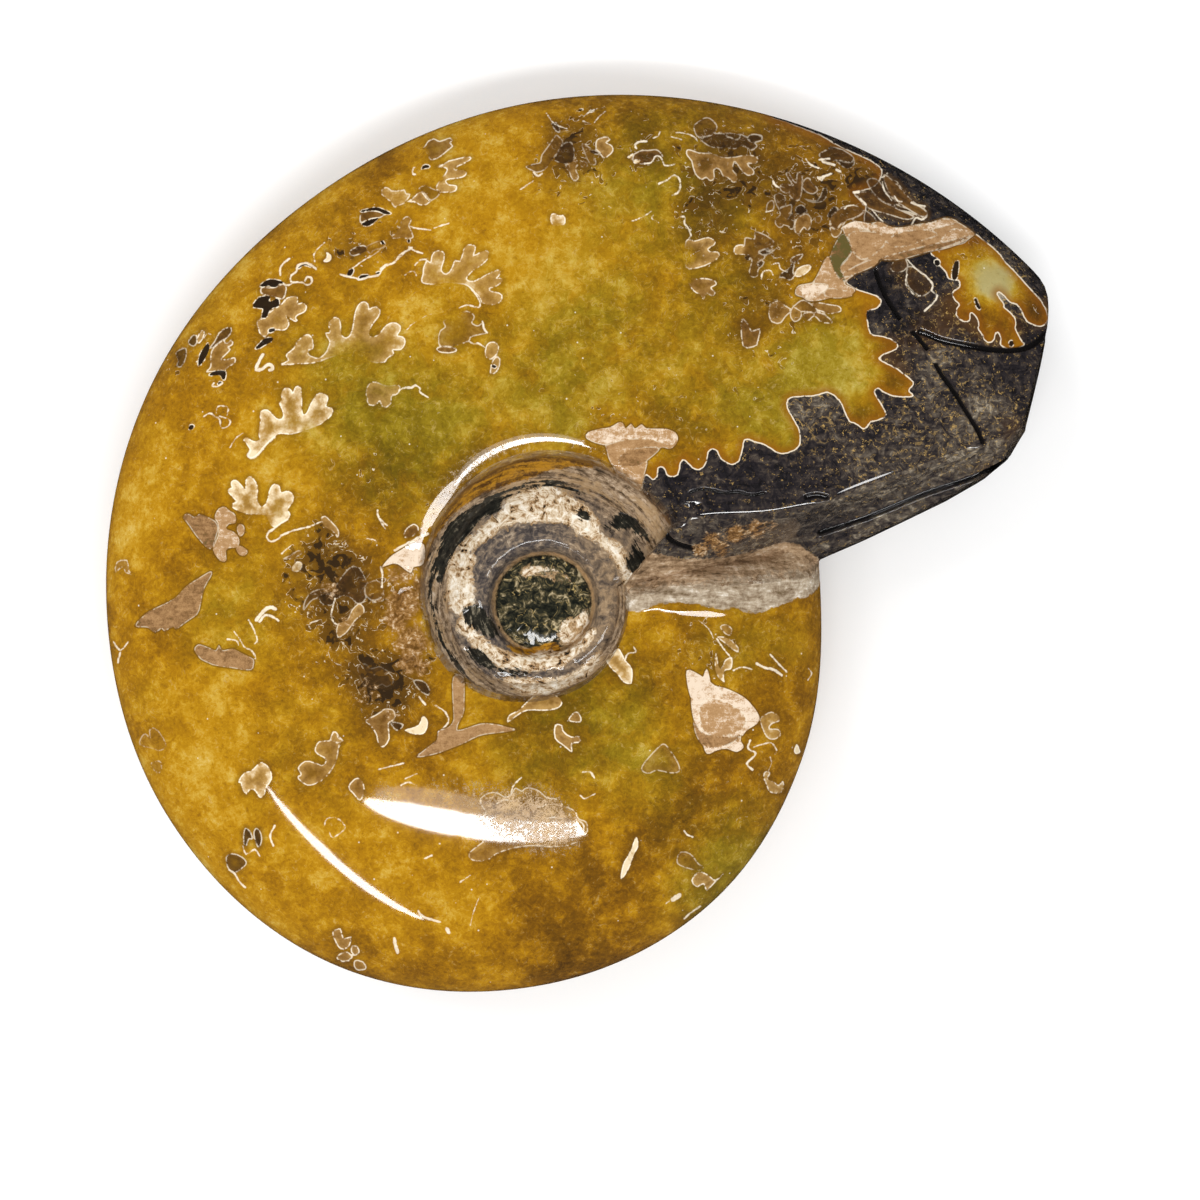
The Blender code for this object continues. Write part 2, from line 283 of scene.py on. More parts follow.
# Outlines and lines as seen from above, in hundredths of a millimetre: x and y of the first point, then each step on.
# A leaf: tone from 0, black, to 1, cream; how much of it is filled; where it fades out (x, y, reach); outline.
leafMarks = (
    (0.85, 0.6, (-2028, 1549, 327), (-2666, 1606, 71, 41, -20, 49, 64, 55, 43, 71, 66, 54, 43, -5, 24, -49, 4, -66,
     -39, -16, -5, -38, 49, -27, 49, -6, 60, 49, 27, 60, 6, 44, -28, 43, -5, 28, 38, 8, -14, 74, 41, 54, 44, 0, 24,
     -54, 3, -88, 39, -38, 43, 27, 27, 88, 17, 109, 32, 76, 50, 27, 38, -27, 5, -44, 49, 28, 49, -28, -5, -54, -33,
     -44, -38, -54, -22, -66, 33, -32, 60, 32, 65, 77, 71, 24, 55, -35, -6, -44, -22, -38, 55, -16, 16, -44, -27,
     -60, -49, -11, -38, 0, 11, -38, -55, -33, -38, -43, -125, 10, -164, 77, -164, -33, -163, -54, -153, -11)),
    (0.75, 0.8, None, (-2633, 2182, 27, 27, 71, 16, 27, -21, -5, -50, 49, 11, 33, -32, -17, -49, -60, -28, -22, -27,
     17, -27, -38, 0, -60, 49, 16, -44, 5, -43, -38, -44, -65, 2, -66, -7, -43, -60, -55, 43, -5, 44, -17, 33, 22,
     43, 55, 11, 43, 55, 55, 38, 44, 27)),
    (0.4, 0.8, None, (-2824, 2307, 76, -5, 109, 32, 28, -43, -28, -87, -43, 0, -77, 21, -76, 22, -11, 33)),
    (0.22, 1, None, (-2044, 2607, 16, 38, 87, 36, 44, -9, 5, -32, -38, -28, -87, -27)),
    (0.5, 0.15, None, (-1892, 2656, 28, 33, 87, 33, 49, -11, 5, -33, -43, -27, -55, -11, -43, -33)),
    (1, 1, None, (-2279, 2536, 35, 44, -8, 38, 39, -22, 5, -33, -27, -27)),
    (0.8, 0.5, (-1690, 1506, 142), (-1897, 1342, 11, 60, 27, 44, 60, 5, 87, -33, 109, 6, 9, -49, -30, -38, -44, -17,
     0, -54, -49, -44, -38, 16, -17, 44, -38, -38, -54, 0, -22, 38, 5, 33)),
    (0.45, 0.7, (-1397, 3504, 83), (-1347, 3610, 32, 23, 37, 9, 37, -23, 55, 14, 36, 18, 33, -23, -23, -28, 27, -23,
     -37, -32, -36, -32, -46, -37, -37, -18, -46, -5, -37, 60, -45, 28, 36, 36)),
    (0.75, 0.7, (-1241, 3293, 64), (-1260, 3394, 65, 18, 36, 28, 74, 18, 73, 17, 60, 0, -14, -31, -64, -32, -64,
     -32, 0, -18, 64, -3, 37, -20, -19, -37, -64, -17, -64, -6, -37, -14, 18, -32, 37, -9, 37, -5, 4, -36, -41, -23,
     -73, 0, -33, 4, -41, 28, 46, 92, 37, 36, 18, 55)),
    (0.3, 0.4, None, (-1420, 3196, 59, 28, 55, -28, 69, -27, 0, -32, -50, -44, -37, -2, -37, 50, -36, 32)),
    (0.7, 0.7, None, (-1508, 3091, 37, 18, 55, 55, 28, -9, 36, -46, 30, -32, -39, -32, -55, 0, -27, 27, -46, 0)),
    (0.85, 0.4, None, (-1760, 3164, 18, 32, 37, 7, 41, -30, 32, 0, 51, 0, 32, 10, 14, -37, 37, -5, -37, -60, -28,
     -27, -37, -9, -36, -19, -37, 46, -46, 37, -32, 28)),
    (0.35, 0.7, None, (-1939, 2976, 82, 17, 74, -7, 55, -26, -46, -30, -73, -8, -56, -21, -45, -12)),
    (0.6, 0.5, None, (-1673, 2751, 55, 55, 28, 46, 9, 55, 55, 37, 37, -37, -19, -46, 19, -46, 18, -64, -55, -9, -55,
     9, -46, -9)),
    (0.8, 0.6, (-1163, 2231, 215), (-1393, 2349, 10, 78, 5, 58, 24, 59, -19, 14, 24, -9, 34, -20, 10, 54, 24, 39,
     49, 14, 39, -24, 0, -59, -19, -58, -5, -39, 34, -34, 39, 24, 29, 49, 10, 39, 10, 19, 44, -14, 24, 63, 20, 69,
     63, 19, 34, -19, -9, -49, -10, -29, 39, 14, 49, 29, 44, -9, 0, -44, -15, -39, -59, -49, -58, -39, -49, -49,
     -10, -34, 59, -15, 78, 39, 78, 39, 59, 25, 29, -15, -15, -39, -19, -24, 53, -5, -9, -29, -59, -40, -49, -14,
     10, -25, 68, -14, 34, -25, -9, -48, -44, -30, -69, -5, -58, 15, -20, 49, -48, 49, -39, 39, -49, 29, -78, 10,
     -98, 10, -98, -20)),
    (0.5, 0.45, (-1134, 2095, 156), (-1237, 1900, 54, 48, -19, 49, 68, 39, 107, 49, 69, 0, 41, -49, -27, -49, 54,
     -29, 44, 29, 5, -48, 34, -44, -83, -20, -64, -19, -19, -39, -112, -35, -59, -19, -93, 19)),
    (0.42, 0.8, None, (-1261, 1743, 24, 25, 54, 5, 88, -15, 10, -29, -59, -15, -78, 5)),
    (0.75, 0.6, None, (-817, 1763, 24, 39, 49, 10, 39, -30, 0, -48, -29, -49, -49, -29, -39, 39)),
    (0.7, 0.6, None, (-753, 1646, 34, 39, 29, -29, -5, -59, -24, -49, -30, -21, -29, 2, 3, 39, 7, 39)),
    (0.92, 0.75, (-2380, 963, 153), (-2997, 927, 23, 29, 60, -38, 59, 9, -7, 66, 9, 69, 13, 32, -8, 49, 8, 45, 53,
     14, 52, -45, 37, -37, 45, 0, 14, 52, -37, 90, 23, 30, -7, 59, 44, 52, 45, -22, 15, -30, 30, 60, 45, -15, 7,
     -104, -1, -81, 16, -55, 33, 23, 38, 86, 54, 77, 55, 5, 42, -37, -20, -77, 55, -16, 10, -28, -21, -43, -33, -30,
     -62, -45, -136, -54, -134, -36, -90, 9, -53, -34, -73, -68, -76, -89, -52, -29, -37, 14, 22, 53, -29, 51)),
    (0.92, 0.8, (-2840, 173, 134), (-2930, 262, -82, 15, -82, 45, 8, 45, 29, 7, -74, 82, 7, 37, 23, 8, -8, 52, 45,
     15, 52, -52, 30, -30, 8, 97, 44, 15, 45, -52, 15, -75, -7, -89, 44, -53, 45, 45, 22, 97, 38, 60, 52, -15, 15,
     -60, 60, 15, 52, -37, -8, -67, -44, -60, 22, -45, -22, -45, -60, -37, -60, -37, -45, 45, -29, 59, -60, 15)),
    (0.25, 0.8, None, (-3303, 1754, 52, 75, 38, 74, 89, 45, 18, -45, -48, -59, -74, -52)),
    (0.6, 0.65, None, (-3333, 1545, 38, 45, 0, 90, 22, 74, 90, 75, 29, -30, 45, 30, 15, -37, -45, -30, 23, -15, -38,
     -45, -44, -45, 59, 0, 60, 15, 3, -45, -78, -52, -14, -30, -105, 0)),
    (0.12, 0.6, None, (-3609, 1695, 23, 44, 67, 15, 7, -74, -44, -90, -45, 8, 15, 52)),
    (0.15, 0.7, None, (-3497, 1814, 45, 60, 45, -23, -23, -67, -37, -7)),
    (0.75, 0.8, None, (-3419, 1821, 12, 45, 30, 48, 27, -11, -12, -52, -33, -49)),
    (0.6, 0.8, None, (179, 3627, 33, 19, 51, 13, 39, -26, -39, -25, 51, -26, 13, -51, -51, -52, -39, -6, -32, 45,
     -32, 38)),
    (0.55, 0.6, None, (6, 3415, -13, -52, 26, -64, -20, -32, -38, 6, -26, 65, -26, 38, 7, 39, -39, 51, 65, 26, 64,
     -39)),
    (0.5, 0.4, None, (32, 3415, 25, 26, 39, -20, -7, -38, -38, 2)),
    (0.5, 0.4, None, (44, 3595, 52, -13, 38, -64, 39, -77, -13, -39, -51, 26, -39, 90)),
    (0.15, 0.8, None, (-200, 3466, 77, 129, 77, 13, 26, -90, -13, -77, -64, -26, -64, 13)),
    (0.08, 1, None, (122, 3531, 51, 6, 41, -32, -54, -3)),
    (0.35, 0.55, None, (-457, 3389, 64, 26, 65, 13, 12, 64, 65, 90, 51, 77, 26, 13, 51, -64, -51, -90, -52, -77,
     -64, -78, -64, -25, -39, 13)),
    (0.1, 0.9, None, (-226, 3788, 52, -7, 26, -83, -39, 13, -26, 38)),
    (0.3, 0.85, None, (488, 3466, 19, 32, 77, 39, 65, 0, 77, 6, 51, -64, -64, 0, -39, -51, -64, -13, -64, 6, -32,
     13)),
    (0.95, 0.9, None, (456, 3477, 26, 15, 32, 19, -7, -32, -25, -19)),
    (0.95, 0.9, None, (514, 3438, 25, 13, 33, -10, -20, -20, -32, 0)),
    (0.9, 0.7, (-174, 2798, 116), (-232, 2952, 38, 15, 33, -21, 38, 6, 19, -26, -12, -58, -103, 0)),
    (0.55, 0.8, (1279, 3601, 154), (996, 3543, -7, -45, 45, -57, 13, -58, 26, -65, 51, -45, 39, 20, 45, -32, 32, 32,
     -6, 64, 25, 19, 33, -19, 25, -51, 52, -20, 38, -38, 39, 19, -7, 51, -32, 39, 3, 51, 16, 26, 58, -77, 52, -45,
     51, 6, 7, 39, -45, 39, -7, 25, 58, -6, 32, 26, -6, 32, -52, 19, -77, 0, -64, -13, -116, -6, -103, 38, -102, 0,
     -65, 23)),
    (0.2, 0.7, None, (1112, 3640, 77, 38, 77, 13, 77, -6, 77, -39, 52, 39, 77, -32, 103, 25, 19, -45, -71, -19, 26,
     -38, -52, -39, -77, 39, -77, -26, -103, 13, -103, 0)),
    (0.3, 0.55, None, (1054, 3730, 19, 51, 90, 52, 64, -26, 39, -64, -52, -65, -115, -25)),
    (0.1, 0.9, None, (1536, 3650, 38, 31, 58, -3, 39, -45, -45, -19, -52, 0)),
    (0.2, 0.6, None, (1343, 3689, 51, 0, 78, -11, -26, -45, -52, 17, -38, 9)),
    (0.32, 0.7, None, (1883, 3325, 26, 13, 32, -58, 35, -32, 7, 77, 29, 13, 20, -45, -5, -103, -15, -90, -52, -13,
     -64, 64, -64, 65, 51, 25, 64, -25, -32, 51)),
    (0.25, 0.9, None, (2037, 3254, 45, 39, 45, -52, 45, -58, -45, -38, -64, 19, -26, 39)),
    (0.4, 0.6, None, (1832, 3216, 51, -26, 32, -26, -32, -13, -45, 26)),
    (0.25, 0.6, None, (1780, 3138, 52, 13, 51, -51, -13, -90, -51, 0, -33, 64)),
    (0.38, 0.45, None, (1786, 2881, 7, 45, 39, 32, -13, 52, 64, 26, 51, 12, -6, -77, -39, -64, -38, -58, -32, -6)),
    (0.03, 1, None, (1966, 3010, 33, 32, 38, 0, 41, -51, -41, -20, -51, -13)),
    (0.5, 0.75, None, (1960, 2830, 6, 64, 33, 45, 64, 26, 45, -32, 0, -77, -32, -39, -32, 26, -45, -58, -33, 19)),
    (0.2, 0.6, None, (1896, 2920, 51, 51, 16, -77, -16, -64, -38, 13)),
    (0.45, 0.3, None, (2143, 2933, 61, 13, -6, -52, -39, -15)),
    (0.1, 0.7, None, (2050, 3100, 116, -13, 51, 103, 26, 26, 15, -65, -41, -70, -90, -13)),
    (0.03, 1, None, (2256, 2958, 64, 78, 45, -65, -83, -41)),
    (0.5, 0.65, None, (2282, 2920, 64, 38, 77, -38, -26, -64, -25, -78, -52, -25, -38, 51)),
    (0.38, 0.4, None, (1709, 2984, 65, 26, -7, 77, -51, -26)),
    (0.35, 0.55, None, (1600, 2804, 77, -19, 77, -45, 36, -64, -23, -52, -64, -26, -26, -77, -45, -64, 0, -45, -51,
     -19, -32, 38, 13, 52, 12, 77, -64, 38, 0, 103, 13, 52, 77, -13)),
    (0.8, 0.8, None, (1439, 2598, -25, 39, 19, 39, 51, 12, 36, -25, -16, -52)),
    (0.06, 1, None, (1639, 2624, 64, 26, 67, 6, -16, -45, -77, -13)),
    (0.1, 0.9, None, (1510, 2573, 39, 19, 13, -32, -26, -13)),
    (0.1, 0.8, None, (1626, 2521, 38, 26, 26, -13, -26, -45, -25, 7)),
    (0.25, 0.8, None, (1922, 2547, 38, 39, 80, 19, -28, -45, -52, -41)),
    (0.85, 0.7, None, (1979, 2463, 71, 39, 58, 0, -13, -45, -71, -51, -51, 0)),
    (0.15, 0.8, None, (1819, 2393, 38, 51, 52, 26, 25, 51, 26, -13, -13, -64, 13, -38, -38, -39, -65, 26)),
    (0.6, 0.6, None, (1754, 2161, 65, 20, 64, -45, 51, -39, -51, -51, -51, -65, -78, 13, -25, 64, 6, 52)),
    (0.6, 0.5, None, (1934, 2110, 52, 51, 38, -77, -12, -64, -52, -26, -38, 52)),
    (0.5, 0.7, None, (2102, 2148, 64, 20, 116, -20, 77, -12, 21, -45, -86, -26, -77, 19, -77, 26)),
    (0.45, 0.6, None, (2048, 2071, 79, 13, 77, -13, 78, -51, 15, -36, -93, 4, -64, 58, -51, -39, -39, 23)),
    (0.36, 0.6, None, (1960, 2136, 77, 57, 77, -45, 52, -64, -103, 0, -51, 13)),
    (0.36, 0.8, None, (1484, 2013, 65, -45, 25, -57, 78, 19, -20, -103, -19, -51, -116, 0)),
    (0.72, 0.7, (970, 2598, 141), (983, 2721, 77, 0, 64, 19, 65, 13, 57, -32, -12, -39, -52, -32, 20, -26, 64, 0,
     19, -38, -58, -52, -103, -45, -141, -6)),
    (0.55, 0.8, (983, 2393, 90), (983, 2399, 90, -19, 77, 6, 90, -22, 16, -36, -48, -28, 38, -42, -25, -32, -58, 25,
     -19, -58, -32, 45, -65, 39)),
    (0.1, 0.8, None, (2269, 3569, 51, -6, 64, -77, 90, -13, 29, -52, -54, -51, -65, 26, -38, 38, -64, 39, -20, 51)),
    (0.3, 0.9, None, (2500, 3151, 77, 13, 103, -51, 77, -65, 103, -38, 129, -26, 103, -38, 64, 0, -52, -29, -115,
     26, -129, 39, -77, 30, -103, 21, -77, 15, -51, 39)),
    (0.3, 0.9, None, (2796, 3228, 38, 39, 52, -13, 32, -51, 45, -39, -77, -6, -13, -32, 39, -39, 102, -26, 116, -25,
     -38, -39, -155, 26, -90, 51, -45, 64)),
    (0.28, 0.5, None, (2372, 3023, 102, -13, 129, -13, 103, -103, -103, -13, -129, 26, -64, 39)),
    (0.6, 0.2, (-3839, -1867, 69), (-3931, -1813, 16, 76, 38, 23, 38, -38, -8, 69, 39, 23, 53, -38, 64, -123, -64,
     -46, -46, 16)),
    (0.6, 0.3, None, (-3824, -1974, 69, 15, 23, -61, -38, -53, -61, 69)),
    (0.85, 0.9, None, (-3043, -2142, 53, 76, 61, 16, 62, 61, 46, 15, 61, -61, 15, -92, -46, -61, -23, -77, -38, -22,
     -46, 68, -46, 0, -30, -38, -39, 54, -7, 46)),
    (0.68, 0.6, (-2072, -1989, 138), (-2355, -1851, 39, 68, 91, 8, 31, 77, 38, -16, 46, -61, -31, -61, -22, -123,
     -62, -107, -76, -76, -107, -38, -61, 30, -46, 46, 38, 23, -31, 61, 69, 61, 77, -15, 76, -23, 31, 54, -77, 46)),
    (0.08, 1, None, (-2997, -2601, 23, 38, 45, -46, 8, -53, -30, 0, -23, -62, -23, 23)),
    (0.06, 1, None, (-2906, -2601, 23, 38, 39, -38, 10, -77, -30, -61, -34, 77)),
    (0.25, 0.7, None, (-3150, -2892, -8, 61, 38, 39, 84, -16, 62, -53, -16, -46, -92, -61, -45, 30)),
    (0.65, 0.4, None, (-4153, -260, 16, 92, 92, 15, 15, -92, 30, -38, -61, 23, -30, 46)),
    (0.6, 0.8, None, (-194, -1638, 60, 0, 16, -60, 74, -45, 61, 7, 15, -52, -76, -15, 0, -75, -74, 60, -76, 60)),
    (0.6, 0.7, None, (-73, -1593, 59, 75, 46, -30, 0, -60)),
    (0.7, 0.85, None, (-621, -1608, 15, 60, 83, 45, 74, 75, 90, 68, 135, 7, 90, -60, -29, -67, -121, -23, -165, 0,
     -105, -60)),
    (0.6, 0.7, None, (-2054, -2193, 60, 75, 61, -15, 22, -90, -37, -90, -61, 60)),
    (0.65, 0.7, None, (-2196, -3498, 68, 30, 30, -90, 67, 15, -23, -90, -74, -15, -46, 75)),
    (0.6, 0.7, None, (-2023, -3626, 45, 0, 22, -52, -38, -30, -33, 30)),
    (0.6, 0.7, None, (-2128, -3693, 60, 15, 45, -45, -61, -45, -74, 30)),
    (0.55, 0.6, None, (-1994, -3753, 75, -15, 23, -60, -68, -15, -37, 30)),
    (0.75, 0.6, None, (-2218, -1773, 30, 75, 30, -8, 14, -44, 42, -23, -34, -23)),
    (0.85, 0.9, None, (256, -1023, 60, 30, 61, 45, 59, -105, 60, -75, 0, -105, -14, -30, -60, 15, -45, 60, -75,
     75)),
    (0.55, 0.35, None, (602, -1983, 104, 120, 76, 60, 60, -60, 75, -120, 2, -75, -92, -8, -106, 23, -74, -30, -61,
     30)),
    (0.8, 0.5, None, (1666, -1563, 76, 45, 75, -30, 2, -53, -63, -22, -22, -45, 83, -7, 18, -53, -63, -37, -61, 22,
     -37, 75, -26, 75)),
    (0.8, 0.7, None, (1246, -1128, 8, 135, 30, -135, 38, 30, 14, 45, 60, 23, -7, -98, -60, -15, -7, -75, 7, -30,
     -52, 45)),
    (0.8, 0.6, None, (1269, -843, 82, -7, 90, -68, 13, -60, -58, 30, -74, 60)),
    (0.6, 0.5, None, (1292, -753, 44, 23, 60, -38, -14, -60, -46, 15)),
    (0.85, 0.6, None, (1682, -2103, 14, 48, 46, -11, -23, -52, 53, -30, 45, -30, 37, 37, 10, -52, -32, -53, -90, 8,
     -38, 75)),
    (0.7, 0.7, None, (1036, -3033, 61, 75, 90, -30, 59, -45, 76, 60, -76, -75, -75, -75, -29, 60, -61, -30)),
    (0.5, 0.35, None, (901, -2868, 31, 90, 90, -15, 75, -90, 45, -30, -45, -30, -135, 30)),
    (1, 1, None, (534, -2643, 20, -75, -35, -75, -60, -150, -60, -75, 23, 135, 60, 105)),
    (1, 1, None, (1959, -1863, 22, 53, 31, -68, -38, -15)),
    (0.65, 0.7, None, (-2301, 222, 37, 22, 60, -52, 60, -75, -7, -67, -37, 52, -76, 45)),
    (0.6, 0.4, None, (-2638, -138, 60, 30, 74, 45, 30, -30, -90, -45)),
    (0.95, 0.6, None, (-2564, -228, 38, 60, 52, -8, -7, -52, -45, -30)),
    (0.18, 0.8, None, (-2196, -453, 38, 90, 90, 120, 59, 37, 61, -22, 29, -60, 31, -60, 2, -105, -33, -75, -59, -15,
     -45, 45, -75, 30, -68, -30)),
    (0.22, 0.6, None, (-2458, -603, 14, 90, 60, 75, 106, 30, 74, -30, 34, -60, -34, -60, -90, 15, -22, 45, -68,
     -15)),
    (0.12, 0.9, None, (-2316, -476, 98, 23, 44, -45, -30, -60, -90, 12)),
    (0.62, 0.9, None, (-2151, -730, 83, 37, 45, 90, 59, 60, 45, -30, 0, -60, -75, -60, -74, -105, -83, -48)),
    (0.5, 0.7, None, (-1896, -393, 38, 30, 74, -45, 45, -45, 0, -60, -75, -18, -74, 63)),
    (0.42, 0.9, None, (-1544, 117, 76, 57, 47, -42, -47, -63, -76, -15)),
    (0.5, 0.9, None, (-1896, -1593, 112, 60, 60, 45, 75, -15, 15, -75, -60, -45, 8, -135, -53, -75, -45, 30, -22,
     90, -52, 75)),
    (1, 1, None, (-1544, -1683, 121, 45, 37, 82, 45, -52, -23, -90, -75, -22)),
    (0.1, 0.9, None, (-1678, -1608, 119, -22, -59, -56)),
    (0.1, 0.8, None, (-1468, -1233, 90, -8, 52, -67, -7, -60, -61, 30, -45, 45)),
    (0.38, 0.4, None, (2822, 2483, 38, 64, 77, 39, 45, -78, -19, -38, -39, -26, -77, 0)),
    (0.3, 0.35, None, (2976, 2483, 64, 0, 90, -65, 71, -90, -7, -45, -51, -45, -51, -12, -78, 51, -45, 77)),
    (0.74, 0.42, None, (-1025, -2577, 67, -24, 75, -30, 51, -42, -67, -54, -69, -66, 33, -60, 126, 0, 90, 60, 121,
     42, 180, 30, 180, -12, 149, 12, 106, 42, 80, 81, -11, 90, -69, 30, -31, 69, -104, 51, -61, 57, -90, 12, -74,
     66, -106, 24, -45, -30, -60, 27, -30, -51, -60, -30, -75, 42, -90, -12, -59, -48, 18, -72, 36, -48, -85, -72,
     -74, -45)),
    (0.5, 0.25, None, (-1888, -363, 90, 30, 60, -66, -16, -84, -89, -30, -61, 60)),
    (0.35, 0.25, None, (-1973, -1113, 69, 30, 52, -45, 84, 21, 90, -66, 30, -75, -61, -45, -45, 24, -75, -39, -75,
     30, -44, 60)),
    (0.3, 0.8, None, (2528, 3135, 83, 30, 121, -54, 149, -96, 151, -72, -61, -30, -149, 42, -150, 42, -90, 48)),
    (0.38, 0.8, None, (2762, 3315, 65, -30, 85, -90, 120, -120, 126, -96, -43, -42, -144, 78, -113, 84, -67, 96)),
    (0.24, 0.7, None, (2611, 3261, 90, 18, 90, -114, 90, -108, -59, -12, -121, 72)),
    (0.34, 0.8, None, (2282, 2925, 90, 90, 120, 30, 96, -48, -67, -60, -119, -42, -61, -66, -41, 18)),
    (0.22, 0.7, None, (2179, 3495, 79, 48, 114, 12, 120, -78, -30, -48, -121, 18, -83, -18)),
)
blackMarks = (
    (-2851, 2318, 49, 44, 54, 16, 88, -16, 21, -22, -43, -6, -17, -27, -49, -5, -22, 16, -54, -11),
    (-2917, 2133, 33, 60, 38, 27, 87, 5, -11, -43, 33, 0, 44, 27, 16, -27, -5, -49, -55, -17, -33, -32, -21, -50,
     -44, -5, 5, 44, 6, 38, -49, 5),
    (-2778, 1915, 19, 18, 33, 3, 15, -14, -20, -18, -33, -8),
    (-2893, 1753, 31, 42, 60, 51, 67, 3, -9, -33, -69, -36, -46, -29),
    (-2508, 2485, 44, 26, 43, 0, 55, -37, -55, 22, -43, 2, -38, -27),
    (-1766, 2722, 24, 0, 14, -28, -22, -5),
    (-2066, 2411, 11, 43, 38, 20, 11, -20, -22, -43),
    (-1965, 2389, 30, 27, 60, 2, -2, -18, -42, -24),
    (-1812, 2430, 29, 16, 22, -5, -22, -22),
    (-1396, 3368, 12, 30, 28, 12, 32, -12, -2, -18, -35, -6),
    (-1944, 2994, 60, 16, 73, 15, 74, -19, 69, -37, -56, -9, -59, 28, -74, 7, -73, -16),
    (-1935, 2879, 42, 21, 46, 20, 64, 7, -28, -29, -46, -37, -55, -5),
    (-1524, 2723, 14, 14, 16, -14, -14, -18),
    (-768, 1602, 24, 5, 25, -18, -15, -13, -29, 9),
    (-3407, 1598, 7, 82, 38, 74, 44, 50, 12, -50, -27, -74, -44, -67),
    (-3303, 1523, 52, 30, 90, -3, -4, -76, -26, 4, -19, 35, -85, -6),
    (-3231, 1433, 18, 23, 27, -12, -27, -21),
    (-3494, 1038, 20, 30, 30, -8, -8, -29, -30, -11),
    (-3240, 158, 27, 7, 7, -45, -25, -7),
    (3, 3893, 29, 17, 25, -3, -19, -16),
    (109, 3880, 25, 23, 29, 0, -22, -19),
    (3400, 2528, 23, 13, 18, -9, -5, -88, -17, -67, -38, -2, -4, 69),
    (3578, 2197, 21, 9, 17, -45, 22, -38, -13, -20, -26, 20),
    (3895, 1821, 26, 3, 13, -29, -20, -26, -23, 19),
    (3220, 2547, 39, 6, 13, -38, -26, -19, -23, 19),
)
